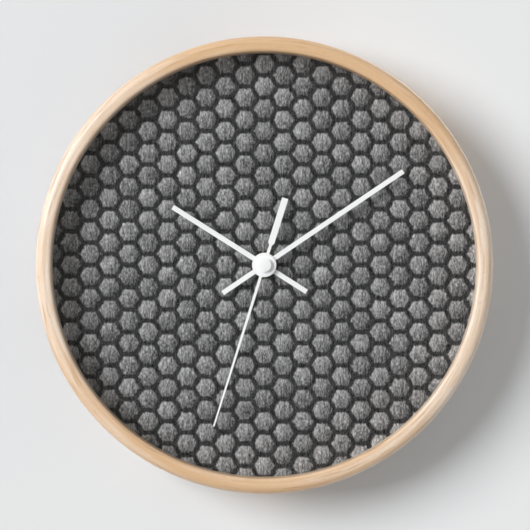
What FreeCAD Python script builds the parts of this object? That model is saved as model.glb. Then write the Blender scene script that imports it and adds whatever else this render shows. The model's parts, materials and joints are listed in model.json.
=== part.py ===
import FreeCAD
import Part
import Sketcher
import math
import os
import re

# Round wall clock: a turned wooden rim with a rounded front edge, a clear lens, a printed dial
# on a board, three white hands, and a battery movement in the recess at the back.
# The frame has +Z at twelve o'clock, +X to the right and the dial facing -Y. The wall is the
# plane y = 0 and the hands turn about the Y axis. A depth is a distance from the wall.

Vector = FreeCAD.Vector
Placement = FreeCAD.Placement
Rotation = FreeCAD.Rotation

# Turns a shape that was drawn flat and raised along Z so that it rises from the wall to the front
FORWARD = Rotation(Vector(1, 0, 0), 90)

# Two places nearer than this count as one
SAME_PLACE = 1e-6

# Driving sizes, in millimetres and degrees
SIZES = {
    # wooden rim
    "rim_diameter": 254.0,
    "rim_width": 8.8,
    "rim_depth": 44.0,
    "rim_back_round": 2.0,
    "rim_inner_round": 2.1,
    "rim_outer_round": 4.6,
    "lip_depth": 4.9,
    "rebate_step": 2.4,
    "rebate_play": 0.3,
    # lens, spacer, dial and board
    "lens_thick": 2.0,
    "spacer_depth": 10.0,
    "print_thick": 0.3,
    "board_thick": 3.0,
    # steel points that hold the board in the rim
    "point_thick": 0.8,
    "point_width": 10.0,
    "point_reach": 10.0,
    "point_bite": 3.5,
    # fastening of the movement through the dial
    "bush_radius": 4.0,
    "bush_play": 0.1,
    "bush_proud": 3.2,
    "dial_washer_thick": 0.5,
    "dial_washer_radius": 6.4,
    "nut_across": 11.0,
    "nut_thick": 2.0,
    "rubber_thick": 1.0,
    "rubber_radius": 9.0,
    # hanger
    "hanger_thick": 1.0,
    "hanger_width": 18.0,
    "hanger_tail": 10.0,
    "hanger_case_gap": 2.0,
    "hanger_wall_gap": 4.0,
    "hanger_margin": 5.0,
    "hanger_bend": 1.5,
    "keyhole_radius": 4.5,
    "keyhole_height": 40.0,
    "nail_radius": 2.1,
    "nail_rise": 7.0,
    # battery and its contacts
    "battery_radius": 7.25,
    "battery_length": 50.5,
    "battery_play": 0.3,
    "battery_depth_play": 0.15,
    "nub_radius": 2.75,
    "nub_length": 1.0,
    "wrap_thick": 0.15,
    "wrap_margin": 1.5,
    "contact_room": 1.25,
    "contact_thick": 0.3,
    "contact_width": 6.0,
    "contact_play": 0.05,
    "contact_dimple_radius": 2.2,
    # movement case and cover
    "case_top": 28.0,
    "case_wall": 1.5,
    "case_front_wall": 1.2,
    "case_corner": 2.5,
    "cover_thick": 1.2,
    "cover_play": 0.1,
    "cover_post": 3.0,
    "partition_thick": 1.0,
    "train_margin": 1.72,
    # posts, bosses, plate and pivots
    "post_radius": 1.3,
    "stake_radius": 0.7,
    "stake_proud": 0.5,
    "boss_height": 2.3,
    "boss_radius": 1.2,
    "plate_thick": 1.0,
    "plate_margin": 2.2,
    "pivot_radius": 0.3,
    "pivot_play": 0.03,
    "pivot_floor": 0.5,
    "end_shake": 0.1,
    # wheels
    "axle_spread": 7.2,
    "motion_spread": 10.5,
    "tooth_play": 0.03,
    "wheel_thick": 0.8,
    "pinion_overhang": 0.2,
    "motion_thick": 1.0,
    "hour_wheel_thick": 0.9,
    "arbor_radius": 0.45,
    "rotor_arbor_radius": 0.7,
    "second_arbor_radius": 0.4,
    "second_arbor_play": 0.05,
    "cannon_radius": 1.65,
    "cannon_play": 0.03,
    "collar_radius": 2.4,
    "hour_tube_radius": 2.55,
    "hour_tube_wall": 0.8,
    "hour_washer_thick": 0.25,
    "hour_washer_radius": 4.5,
    "washer_gap": 0.08,
    "clutch_thick": 0.25,
    "clutch_radius": 3.2,
    "clutch_gap": 0.05,
    # time setting
    "stud_radius": 0.6,
    "stud_play": 0.03,
    "stud_sink": 0.7,
    "stud_reach": 4.0,
    "shaft_radius": 1.5,
    "shaft_play": 0.1,
    "knob_radius": 5.5,
    "knob_thick": 2.2,
    "knob_gap": 0.4,
    "knob_groove_radius": 0.45,
    # stepping motor
    "magnet_radius": 3.0,
    "magnet_thick": 2.6,
    "magnet_gap": 0.4,
    "stator_thick": 1.0,
    "stator_bridge": 0.65,
    "stator_leg": 4.0,
    "stator_span": 17.5,
    "stator_left": 9.44,
    "core_height": 3.0,
    "core_thick": 1.2,
    "coil_radius": 3.2,
    "coil_flange_radius": 3.7,
    "coil_flange_thick": 0.8,
    "coil_sleeve_radius": 1.9,
    "coil_top_gap": 1.6,
    "coil_leg_gap": 0.3,
    # circuit board
    "circuit_thick": 1.0,
    "circuit_height": 26.0,
    "circuit_gap": 1.2,
    "chip_radius": 3.0,
    "chip_top_radius": 1.8,
    "chip_thick": 1.2,
    "crystal_radius": 1.0,
    "crystal_length": 6.0,
    # hands
    "hub_radius": 6.85,
    "hour_hand_tip": 60.4,
    "hour_hand_tail": 28.0,
    "hour_hand_width": 2.8,
    "hour_hand_thick": 0.4,
    "hour_hand_lift": 0.7,
    "minute_hand_tip": 93.4,
    "minute_hand_tail": 28.0,
    "minute_hand_width": 2.7,
    "minute_hand_thick": 0.4,
    "minute_hand_lift": 1.0,
    "second_hand_tip": 94.3,
    "second_hand_root_width": 1.7,
    "second_hand_tip_width": 0.9,
    "second_hand_thick": 0.3,
    "second_hand_lift": 0.9,
    "second_hub_radius": 6.6,
    "weight_near": 11.8,
    "weight_far": 39.0,
    "weight_width": 3.6,
    "weight_chamfer": 0.95,
    "collet_radius": 1.1,
    "collet_back": 0.6,
    "collet_front": 0.5,
    "cap_radius": 3.4,
    "cap_height": 2.5,
    "cap_edge": 1.9,
    # an allowance by which a cutting profile passes the face that it opens
    "overrun": 1.0,
}

# Angles in degrees, clockwise as the dial is read for the hands and anticlockwise from +X for the axes
ANGLES = {
    "third_direction": 30.0,
    "rotor_direction": 150.0,
    "knob_direction": 90.0,
    "pressure_angle": 28.0,
    "hour_hand_angle": 302.3,
    "minute_hand_angle": 56.0,
    "second_hand_angle": 197.4,
}

COUNTS = {
    "board_points": 8,
    "knob_grooves": 20,
    "rotor_pinion_teeth": 8,
    "intermediate_wheel_teeth": 48,
    "intermediate_pinion_teeth": 10,
    "second_wheel_teeth": 50,
    "second_pinion_teeth": 8,
    "third_wheel_teeth": 60,
    "third_pinion_teeth": 8,
    "centre_wheel_teeth": 64,
    "cannon_pinion_teeth": 15,
    "motion_wheel_teeth": 45,
    "motion_pinion_teeth": 12,
    "hour_wheel_teeth": 48,
}

# Shares of a module that a tooth stands above and sinks below the pitch circle
SHARES = {
    "addendum_share": 0.8,
    "dedendum_share": 1.05,
}

# Places along a tooth's flank, from its foot to its tip
FLANK_SHARES = (0.0, 0.35, 0.7, 1.0)

# Places and sizes that follow from the driving ones
FOLLOWING = {
    "rim_radius": "rim_diameter / 2",
    "opening_radius": "rim_radius - rim_width",
    "rebate_radius": "opening_radius + rebate_step",
    "disc_radius": "rebate_radius - rebate_play",
    # depths of the front assembly
    "rim_side_front": "rim_depth - rim_outer_round",
    "lip_front": "rim_depth - rim_inner_round",
    "shoulder": "lip_front - lip_depth",
    "lens_back": "shoulder - lens_thick",
    "dial_front": "lens_back - spacer_depth",
    "board_front": "dial_front - print_thick",
    "board_back": "board_front - board_thick",
    "hanger_front": "board_back - rubber_thick",
    "case_front": "hanger_front - hanger_thick",
    "nut_back": "dial_front + dial_washer_thick",
    "nut_front": "nut_back + nut_thick",
    "bush_front": "dial_front + bush_proud",
    # modules of the meshing pairs
    "rotor_module": "2 * axle_spread / (rotor_pinion_teeth + intermediate_wheel_teeth)",
    "intermediate_module": "2 * axle_spread / (intermediate_pinion_teeth + second_wheel_teeth)",
    "second_module": "2 * axle_spread / (second_pinion_teeth + third_wheel_teeth)",
    "third_module": "2 * axle_spread / (third_pinion_teeth + centre_wheel_teeth)",
    "setting_module": "2 * motion_spread / (cannon_pinion_teeth + motion_wheel_teeth)",
    "hour_module": "2 * motion_spread / (motion_pinion_teeth + hour_wheel_teeth)",
    # depths and sides of the movement case
    "case_depth": "2 * battery_radius + 2 * battery_depth_play + case_front_wall",
    "case_back": "case_front - case_depth",
    "inner_face": "case_front - case_front_wall",
    "cover_front": "case_back + cover_thick",
    "case_half_width": "battery_length / 2 + contact_room + case_wall",
    "inner_half_width": "case_half_width - case_wall",
    "inner_top": "case_top - case_wall",
    "hour_wheel_tip": "hour_module * (hour_wheel_teeth / 2 + addendum_share)",
    "partition_top": "-(hour_wheel_tip + train_margin)",
    "partition_bottom": "partition_top - partition_thick",
    "bay_height": "2 * battery_radius + 2 * battery_play",
    "bay_bottom": "partition_bottom - bay_height",
    "case_bottom": "bay_bottom - case_wall",
    "battery_height": "bay_bottom + battery_play + battery_radius",
    "battery_depth": "case_back + battery_depth_play + battery_radius",
    # planes of the wheels, with equal gaps between them
    "wheel_gap": "(inner_face - cover_front - boss_height - 4 * wheel_thick - plate_thick - motion_thick"
                 " - hour_wheel_thick - hour_washer_thick - 2 * washer_gap) / 7",
    "boss_front": "cover_front + boss_height",
    "intermediate_back": "boss_front + wheel_gap",
    "second_back": "intermediate_back + wheel_thick + wheel_gap",
    "third_back": "second_back + wheel_thick + wheel_gap",
    "centre_back": "third_back + wheel_thick + wheel_gap",
    "centre_front": "centre_back + wheel_thick",
    "plate_back": "centre_front + wheel_gap",
    "plate_front": "plate_back + plate_thick",
    "motion_back": "plate_front + wheel_gap",
    "motion_front": "motion_back + motion_thick",
    "hour_wheel_back": "motion_front + wheel_gap",
    "hour_wheel_front": "hour_wheel_back + hour_wheel_thick",
    "hour_washer_back": "hour_wheel_front + washer_gap",
    "pivot_back": "cover_front - pivot_floor",
    # axes of the wheels
    "third_x": "axle_spread * cos(third_direction)",
    "third_z": "axle_spread * sin(third_direction)",
    "intermediate_x": "axle_spread * cos(rotor_direction)",
    "intermediate_z": "axle_spread * sin(rotor_direction)",
    "rotor_x": "2 * intermediate_x",
    "rotor_z": "2 * intermediate_z",
    "knob_x": "motion_spread * cos(knob_direction)",
    "knob_z": "motion_spread * sin(knob_direction)",
    "motion_wheel_tip": "setting_module * (motion_wheel_teeth / 2 + addendum_share)",
    "third_wheel_tip": "second_module * (third_wheel_teeth / 2 + addendum_share)",
    # plate and its posts
    "post_left": "rotor_x - boss_radius",
    "post_right": "motion_wheel_tip + post_radius + pinion_overhang",
    "post_low": "-(hour_wheel_tip - post_radius)",
    "post_high": "knob_z + 2 * post_radius",
    # stepping motor
    "stator_back": "third_back",
    "stator_front": "stator_back + stator_thick",
    "stator_hole": "magnet_radius + magnet_gap",
    "stator_low": "rotor_z - stator_hole - stator_bridge",
    "stator_high": "rotor_z + stator_hole + stator_bridge",
    "stator_west": "rotor_x - stator_left",
    "stator_east": "stator_west + stator_span",
    "stator_step": "intermediate_z + boss_radius + pivot_radius",
    "coil_z": "inner_top - coil_top_gap - coil_flange_radius",
    "stator_top": "coil_z + core_height / 2",
    "core_depth": "stator_front + core_thick / 2",
    "coil_west": "stator_west + stator_leg + coil_leg_gap",
    "coil_east": "stator_east - stator_leg - coil_leg_gap",
    "magnet_back": "stator_back + stator_thick / 2 - magnet_thick / 2",
    # circuit board
    "circuit_back": "stator_front",
    "circuit_front": "circuit_back + circuit_thick",
    "circuit_west": "third_x + third_wheel_tip + circuit_gap",
    "circuit_east": "inner_half_width - contact_thick",
    "circuit_low": "partition_top + circuit_gap + hour_wheel_tip / 3",
    "circuit_top": "circuit_low + circuit_height",
    "circuit_middle": "(circuit_west + circuit_east) / 2",
    # contacts
    "contact_back": "battery_depth - contact_width / 2",
    "contact_low": "battery_height - contact_width / 2",
    "dimple_reach": "contact_room - contact_thick - contact_play",
    # time setting
    "knob_front": "case_back - knob_gap",
    "knob_back": "knob_front - knob_thick",
    "stud_front": "inner_face + stud_sink",
    "stud_back": "motion_back - stud_reach",
    # tubes and hands
    "hour_bore": "hour_tube_radius - hour_tube_wall",
    "bush_bore": "hour_tube_radius + bush_play",
    "cannon_bore": "second_arbor_radius + second_arbor_play",
    "hour_hand_back": "bush_front + hour_hand_lift",
    "hour_hand_front": "hour_hand_back + hour_hand_thick",
    "minute_hand_back": "hour_hand_front + minute_hand_lift",
    "minute_hand_front": "minute_hand_back + minute_hand_thick",
    "second_hand_back": "minute_hand_front + second_hand_lift",
    "second_hand_front": "second_hand_back + second_hand_thick",
    "cap_sphere": "(cap_radius ^ 2 + (cap_height - cap_edge) ^ 2) / (2 * (cap_height - cap_edge))",
    "collet_end": "second_hand_back - collet_back",
    "collet_tip": "second_hand_front + collet_front",
    # hanger
    "bridge_low": "case_top + hanger_case_gap",
    "hanger_top": "keyhole_height + nail_rise + nail_radius + hanger_margin",
}

doc = FreeCAD.newDocument("WallClock")
DRIVING = SIZES | ANGLES | COUNTS | SHARES
nodes = []


def bound(text):
    """The text of a formula with each of its names pointing at the sheet that holds it."""

    def reference(match):
        name = match.group()
        if name in DRIVING:
            return "Sizes." + name
        return "Places." + name if name in FOLLOWING else name

    return re.sub(r"[a-z][a-z_]+", reference, text)


def fill_sheets():
    """Write the driving sizes and the places that follow from them."""
    sizes = doc.addObject("Spreadsheet::Sheet", "Sizes")
    for row, (name, value) in enumerate(DRIVING.items(), start=1):
        sizes.set(f"A{row}", name)
        sizes.set(f"B{row}", str(value))
        sizes.setAlias(f"B{row}", name)
    doc.recompute()
    places = doc.addObject("Spreadsheet::Sheet", "Places")
    for row, name in enumerate(FOLLOWING, start=1):
        places.setAlias(f"B{row}", name)
    for row, (name, formula) in enumerate(FOLLOWING.items(), start=1):
        places.set(f"A{row}", name)
        places.set(f"B{row}", "=" + bound(formula).replace("Places.", ""))
    doc.recompute()
    return sizes


sheet = fill_sheets()


def number(text):
    """The present value of a formula."""
    return float(sheet.evalExpression(bound(text)))


def count(name):
    """A whole number from the sheet."""
    return round(number(name))


def keep(piece, label):
    """Give a finished sub-part its label and list it."""
    piece.Label = label
    nodes.append(piece)
    return piece


# Sketches and features of a body


def new_body(label):
    """A body that becomes one sub-part."""
    return keep(doc.addObject("PartDesign::Body", label), label)


def new_sketch(body, role, depth="0"):
    """A sketch on one of the body's own planes, moved along the plane's normal."""
    plane = next(item for item in body.Origin.OriginFeatures if item.Role == role)
    sketch = body.newObject("Sketcher::SketchObject", body.Label + "_sketch")
    sketch.AttachmentSupport = (plane, [""])
    sketch.MapMode = "FlatFace"
    sketch.setExpression("AttachmentOffset.Base.z", bound(depth))
    return sketch


def facing(body, depth):
    """A sketch that faces the viewer at a depth, with X across and Z along."""
    return new_sketch(body, "XZ_Plane", depth)


def constrain(sketch, constraint, text):
    """Add a constraint and bind its value."""
    index = sketch.addConstraint(constraint)
    sketch.setExpression(f"Constraints[{index}]", bound(text))


def pin(sketch, geometry, point, across, along):
    """Bind the coordinates of one point; a coordinate that is None stays free."""
    if across is not None:
        measure = Sketcher.Constraint("DistanceX", -1, 1, geometry, point, number(across))
        constrain(sketch, measure, across)
    if along is not None:
        measure = Sketcher.Constraint("DistanceY", -1, 1, geometry, point, number(along))
        constrain(sketch, measure, along)


def circle(sketch, radius, across="0", along="0"):
    """A bound circle."""
    centre = Vector(number(across), number(along), 0)
    index = sketch.addGeometry(Part.Circle(centre, Vector(0, 0, 1), number(radius)), False)
    constrain(sketch, Sketcher.Constraint("Radius", index, number(radius)), radius)
    pin(sketch, index, 3, across, along)


def outline(sketch, points, arcs=None):
    """A closed outline through bound points.

    arcs names, by the place of its first point, each side that is an arc running anticlockwise,
    with the two coordinates of its centre. One of them may be left free with a leading "~".
    """
    arcs = arcs or {}
    places = [Vector(number(across), number(along), 0) for across, along in points]
    first = sketch.GeometryCount
    for side, start in enumerate(places):
        end = places[(side + 1) % len(places)]
        if side in arcs:
            middle = Vector(*(number(text.lstrip("~")) for text in arcs[side]), 0)
            begin_angle = math.atan2(start.y - middle.y, start.x - middle.x)
            end_angle = math.atan2(end.y - middle.y, end.x - middle.x)
            if end_angle <= begin_angle:
                end_angle += 2 * math.pi
            ring = Part.Circle(middle, Vector(0, 0, 1), start.distanceToPoint(middle))
            sketch.addGeometry(Part.ArcOfCircle(ring, begin_angle, end_angle), False)
        else:
            sketch.addGeometry(Part.LineSegment(start, end), False)
    for side, (across, along) in enumerate(points):
        index = first + side
        following = first + (side + 1) % len(points)
        sketch.addConstraint(Sketcher.Constraint("Coincident", index, 2, following, 1))
        pin(sketch, index, 1, across, along)
        if side in arcs:
            pin(sketch, index, 3, *(None if text.startswith("~") else text for text in arcs[side]))


def rectangle(sketch, west, low, east, high):
    """A bound rectangle."""
    outline(sketch, [(west, low), (east, low), (east, high), (west, high)])


def pad(body, sketch, length):
    """Raise a facing sketch towards the front."""
    feature = body.newObject("PartDesign::Pad", body.Label + "_pad")
    feature.Profile = sketch
    feature.setExpression("Length", bound(length))
    doc.recompute()
    return feature


def pocket(body, sketch, length):
    """Sink a facing sketch towards the front, and make sure that it cuts."""
    before = body.Shape.Volume
    feature = body.newObject("PartDesign::Pocket", body.Label + "_pocket")
    feature.Profile = sketch
    feature.Reversed = True
    feature.setExpression("Length", bound(length))
    doc.recompute()
    if not body.Shape.Volume < before:
        raise ValueError(f"a pocket of {body.Label} cuts nothing")
    return feature


def revolve(body, points, arcs=None):
    """Turn an outline of radius and depth about the clock's axis."""
    sketch = new_sketch(body, "XY_Plane")
    outline(sketch, [(radius, f"-({depth})") for radius, depth in points], arcs)
    feature = body.newObject("PartDesign::Revolution", body.Label + "_turn")
    feature.Profile = sketch
    feature.ReferenceAxis = (sketch, ["V_Axis"])
    feature.Angle = 360.0
    doc.recompute()
    return feature


def repeat_round(body, feature, times):
    """Repeat a feature evenly round the clock's axis."""
    pattern = body.newObject("PartDesign::PolarPattern", body.Label + "_pattern")
    pattern.Originals = [feature]
    axis = next(item for item in body.Origin.OriginFeatures if item.Role == "Y_Axis")
    pattern.Axis = (axis, [""])
    pattern.Angle = 360.0
    pattern.Occurrences = times
    body.Tip = pattern
    doc.recompute()
    return pattern


def round_edges(body, base, wanted, radius):
    """Round the edges of a feature that the test called wanted picks."""
    names = [f"Edge{place}" for place, edge in enumerate(base.Shape.Edges, start=1) if wanted(edge)]
    feature = body.newObject("PartDesign::Fillet", body.Label + "_round")
    feature.Base = (base, names)
    feature.setExpression("Radius", bound(radius))
    doc.recompute()
    return feature


def runs_along(edge, axis):
    """Whether an edge is straight and parallel to an axis."""
    if len(edge.Vertexes) != 2:
        return False
    span = edge.Vertexes[1].Point - edge.Vertexes[0].Point
    return abs(abs(span.normalize().dot(axis)) - 1) < SAME_PLACE


def place_on_axis(body, x, z):
    """Move a body to another axis of the clock."""
    body.setExpression("Placement.Base.x", bound(x))
    body.setExpression("Placement.Base.z", bound(z))


def turn_clockwise(body, angle):
    """Turn a body about the clock's axis, clockwise as the dial is read."""
    body.Placement = Placement(Vector(), Rotation(Vector(0, 1, 0), number(angle)))
    body.setExpression("Placement.Rotation.Angle", bound(f"({angle}) * 1 deg"))


# Primitives and booleans


def cylinder(name, radius, back, front, x="0", z="0"):
    """A round bar along the clock's axis between two depths."""
    bar = doc.addObject("Part::Cylinder", name)
    bar.Placement = Placement(Vector(), FORWARD)
    bar.setExpression("Radius", bound(radius))
    bar.setExpression("Height", bound(f"({front}) - ({back})"))
    bar.setExpression("Placement.Base.x", bound(x))
    bar.setExpression("Placement.Base.y", bound(f"-({back})"))
    bar.setExpression("Placement.Base.z", bound(z))
    return bar


def crossbar(name, radius, west, east, depth, z):
    """A round bar along X at a depth and a height."""
    bar = doc.addObject("Part::Cylinder", name)
    bar.Placement = Placement(Vector(), Rotation(Vector(0, 1, 0), 90))
    bar.setExpression("Radius", bound(radius))
    bar.setExpression("Height", bound(f"({east}) - ({west})"))
    bar.setExpression("Placement.Base.x", bound(west))
    bar.setExpression("Placement.Base.y", bound(f"-({depth})"))
    bar.setExpression("Placement.Base.z", bound(z))
    return bar


def block(name, west, east, back, front, low, high):
    """A box between its six sides."""
    solid = doc.addObject("Part::Box", name)
    solid.setExpression("Length", bound(f"({east}) - ({west})"))
    solid.setExpression("Width", bound(f"({front}) - ({back})"))
    solid.setExpression("Height", bound(f"({high}) - ({low})"))
    solid.setExpression("Placement.Base.x", bound(west))
    solid.setExpression("Placement.Base.y", bound(f"-({front})"))
    solid.setExpression("Placement.Base.z", bound(low))
    return solid


def fused(name, pieces):
    """Several primitives as one."""
    joined = doc.addObject("Part::MultiFuse", name)
    joined.Shapes = pieces
    joined.Refine = True
    return joined


def cut(name, base, tool):
    """A piece less a tool."""
    rest = doc.addObject("Part::Cut", name)
    rest.Base = base
    rest.Tool = tool
    return rest


def washer(label, inner, outer, back, front):
    """A flat ring on the clock's axis."""
    disc = cylinder(label + "_disc", outer, back, front)
    hole = cylinder(label + "_hole", inner, f"({back}) - overrun", f"({front}) + overrun")
    return keep(cut(label, disc, hole), label)


# Gear teeth


def involute(angle):
    """The involute function of a pressure angle in radians."""
    return math.tan(angle) - angle


def tooth_ring(teeth, module, phase):
    """The outline of a toothed wheel, with one tooth centred at the angle called phase."""
    pressure = math.radians(number("pressure_angle"))
    pitch = module * teeth / 2
    base = pitch * math.cos(pressure)
    root = pitch - number("dedendum_share") * module
    tip = pitch + number("addendum_share") * module
    start = max(base, root)
    radii = [start + (tip - start) * share for share in FLANK_SHARES]
    if root < base:
        radii.insert(0, root)
    half_pitch = math.pi / (2 * teeth) - number("tooth_play") / (2 * pitch)

    def half_angle(radius):
        return half_pitch + involute(pressure) - involute(math.acos(base / max(radius, base)))

    points = []
    for tooth in range(teeth):
        middle = math.radians(phase) + 2 * math.pi * tooth / teeth
        rising = [(radius, middle - half_angle(radius)) for radius in radii]
        falling = [(radius, middle + half_angle(radius)) for radius in reversed(radii)]
        points += [Vector(r * math.cos(a), r * math.sin(a), 0) for r, a in rising + falling]
    return points


def toothed(wheel, module, phase, back, front):
    """A toothed disc between two depths, with one tooth centred at the angle called phase."""
    points = tooth_ring(count(wheel + "_teeth"), number(module), phase)
    face = Part.Face(Part.makePolygon(points + points[:1]))
    face.translate(Vector(0, 0, number(back)))
    return face.extrude(Vector(0, 0, number(front) - number(back)))


def bar(radius, back, front):
    """A plain length of an arbor between two depths."""
    depth = number(back)
    return Part.makeCylinder(number(radius), number(front) - depth, Vector(0, 0, depth))


def meshed(direction, driver, driven):
    """The phase of a wheel that a pinion of phase zero drives, from the direction between their axes."""
    towards = number(direction)
    driven_teeth = count(driven + "_teeth")
    return towards + 180 + towards * count(driver + "_teeth") / driven_teeth + 180 / driven_teeth


def moulded(label, pieces, bores=(), x="0", z="0"):
    """A turned and toothed sub-part on an axis along Y."""
    solid = pieces[0].multiFuse(pieces[1:]).removeSplitter() if pieces[1:] else pieces[0]
    for bore in bores:
        solid = solid.cut(bore)
    part = doc.addObject("Part::Feature", label)
    part.Shape = solid.Solids[0] if len(solid.Solids) == 1 else solid
    part.Placement = Placement(Vector(number(x), 0, number(z)), FORWARD)
    return keep(part, label)


# Rim, lens, dial and board


def make_rim():
    body = new_body("wooden_rim")
    revolve(
        body,
        [
            ("rebate_radius", "0"),
            ("rebate_radius", "shoulder"),
            ("opening_radius", "shoulder"),
            ("opening_radius", "lip_front"),
            ("opening_radius + rim_inner_round", "rim_depth"),
            ("rim_radius - rim_outer_round", "rim_depth"),
            ("rim_radius", "rim_side_front"),
            ("rim_radius", "rim_back_round"),
            ("rim_radius - rim_back_round", "0"),
        ],
        {
            3: ("~opening_radius + rim_inner_round", "-lip_front"),
            5: ("rim_radius - rim_outer_round", "~-rim_side_front"),
            7: ("rim_radius - rim_back_round", "~-rim_back_round"),
        },
    )
    slot = facing(body, "board_back - point_thick")
    rectangle(
        slot,
        "-point_width / 2",
        "rebate_radius - rebate_play * 2",
        "point_width / 2",
        "rebate_radius + point_bite",
    )
    slots = pocket(body, slot, "point_thick")
    repeat_round(body, slots, count("board_points"))


def make_disc(label, back, thick, hole=None):
    body = new_body(label)
    face = facing(body, back)
    circle(face, "disc_radius")
    if hole:
        circle(face, hole)
    pad(body, face, thick)


def make_spacer():
    body = new_body("spacer_ring")
    face = facing(body, "dial_front")
    circle(face, "disc_radius")
    circle(face, "opening_radius")
    pad(body, face, "spacer_depth")


def make_points():
    for place in range(count("board_points")):
        body = new_body(f"board_point_{place + 1}")
        face = facing(body, "board_back - point_thick")
        rectangle(
            face,
            "-point_width / 2",
            "rebate_radius - point_reach",
            "point_width / 2",
            "rebate_radius + point_bite",
        )
        pad(body, face, "point_thick")
        turn_clockwise(body, f"{place} * 360 / board_points")


# Fastening and hanger


def make_fastening():
    washer("rubber_washer", "bush_radius + bush_play", "rubber_radius", "hanger_front", "board_back")
    washer("dial_washer", "bush_radius + bush_play", "dial_washer_radius", "dial_front", "nut_back")
    washer("threaded_bush", "bush_bore", "bush_radius", "inner_face", "bush_front")
    body = new_body("hex_nut")
    face = facing(body, "nut_back")
    corner = "nut_across / sqrt(3)"
    half = "nut_across / 2"
    outline(
        face,
        [
            (corner, "0"),
            (f"{corner} / 2", half),
            (f"-{corner} / 2", half),
            (f"-{corner}", "0"),
            (f"-{corner} / 2", f"-{half}"),
            (f"{corner} / 2", f"-{half}"),
        ],
    )
    circle(face, "bush_radius")
    pad(body, face, "nut_thick")


def make_hanger():
    body = new_body("hanger_bracket")
    half = "hanger_width / 2"
    lower = facing(body, "case_front")
    rectangle(lower, f"-{half}", "-hanger_tail", half, "bridge_low + hanger_thick")
    pad(body, lower, "hanger_thick")
    bridge = facing(body, "hanger_wall_gap")
    rectangle(bridge, f"-{half}", "bridge_low", half, "bridge_low + hanger_thick")
    pad(body, bridge, "hanger_front - hanger_wall_gap")
    upper = facing(body, "hanger_wall_gap")
    rectangle(upper, f"-{half}", "bridge_low", half, "hanger_top")
    plate = pad(body, upper, "hanger_thick")

    def outer_bend(edge):
        depth, height = -edge.CenterOfMass.y, edge.CenterOfMass.z
        low, high = number("bridge_low"), number("bridge_low + hanger_thick")
        back, front = number("hanger_wall_gap"), number("hanger_front")
        behind = math.hypot(depth - back, height - low) < SAME_PLACE
        before = math.hypot(depth - front, height - high) < SAME_PLACE
        return (behind or before) and runs_along(edge, Vector(1, 0, 0))

    def top_corner(edge):
        above = abs(edge.CenterOfMass.z - number("hanger_top")) < SAME_PLACE
        return above and runs_along(edge, Vector(0, 1, 0))

    bent = round_edges(body, plate, outer_bend, "hanger_bend / 2")
    round_edges(body, bent, top_corner, "hanger_margin")
    hole = facing(body, "case_front - overrun")
    circle(hole, "bush_radius + bush_play")
    pocket(body, hole, "hanger_thick + 2 * overrun")
    keyhole = facing(body, "hanger_wall_gap - overrun")
    circle(keyhole, "keyhole_radius", "0", "keyhole_height")
    pocket(body, keyhole, "hanger_thick + 2 * overrun")
    slot = facing(body, "hanger_wall_gap - overrun")
    slot_top = "keyhole_height + nail_rise"
    outline(
        slot,
        [
            ("-nail_radius", "keyhole_height"),
            ("nail_radius", "keyhole_height"),
            ("nail_radius", slot_top),
            ("-nail_radius", slot_top),
        ],
        {2: ("~0", slot_top)},
    )
    pocket(body, slot, "hanger_thick + 2 * overrun")


# Movement case and cover

CORNERS = (("post_left", "post_low"), ("post_right", "post_low"), ("post_left", "post_high"),
           ("post_right", "post_high"))
CIRCUIT_POSTS = (("circuit_middle", "circuit_low + circuit_gap + post_radius"),
                 ("circuit_middle", "circuit_top - circuit_gap - post_radius"))
STATOR_POSTS = (("stator_west + stator_leg / 2", "rotor_z"),
                ("stator_west + stator_leg / 2", "stator_high + 2 * post_radius"))


def posts(body, places, foot, stake_end):
    """Round posts from the case's front wall to a depth, each with a thin stake behind it."""
    for radius, back in (("post_radius", foot), ("stake_radius", stake_end)):
        face = facing(body, back)
        for x, z in places:
            circle(face, radius, x, z)
        pad(body, face, f"inner_face - ({back})")


def make_case():
    body = new_body("movement_case")
    face = facing(body, "case_back")
    rectangle(face, "-case_half_width", "case_bottom", "case_half_width", "case_top")
    shell = pad(body, face, "case_depth")
    round_edges(body, shell, lambda edge: runs_along(edge, Vector(0, 1, 0)), "case_corner")
    room = facing(body, "case_back")
    rectangle(room, "-inner_half_width", "partition_top", "inner_half_width", "inner_top")
    pocket(body, room, "case_depth - case_front_wall")
    bay = facing(body, "case_back")
    rectangle(bay, "-inner_half_width", "bay_bottom", "inner_half_width", "partition_bottom")
    pocket(body, bay, "case_depth - case_front_wall")
    corners = facing(body, "cover_front")
    for west, east in (("-inner_half_width", "cover_post - inner_half_width"),
                       ("inner_half_width - cover_post", "inner_half_width")):
        rectangle(corners, west, "inner_top - cover_post", east, "inner_top")
    pad(body, corners, "inner_face - cover_front")
    posts(body, CORNERS, "plate_front", "plate_back - stake_proud")
    posts(body, CIRCUIT_POSTS, "circuit_front", "circuit_back - stake_proud")
    posts(body, STATOR_POSTS, "stator_front", "stator_back - stake_proud")
    partition_rebate = facing(body, "case_back - overrun")
    rectangle(partition_rebate, "-inner_half_width", "partition_bottom - overrun", "inner_half_width",
              "partition_top + overrun")
    pocket(body, partition_rebate, "cover_thick + overrun")
    centre = facing(body, "inner_face - overrun")
    circle(centre, "bush_radius")
    pocket(body, centre, "case_front_wall + 2 * overrun")
    stud = facing(body, "inner_face - overrun")
    circle(stud, "stud_radius + stud_play", "knob_x", "knob_z")
    pocket(body, stud, "stud_sink + pivot_play + overrun")
    for west, east in (("-inner_half_width", "contact_thick + contact_play - inner_half_width"),
                       ("inner_half_width - contact_thick - contact_play", "inner_half_width")):
        gap = facing(body, "contact_back - contact_play")
        rectangle(gap, west, "partition_bottom - overrun / 2", east, "partition_top + overrun / 2")
        pocket(body, gap, "contact_width + 2 * contact_play")


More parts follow.
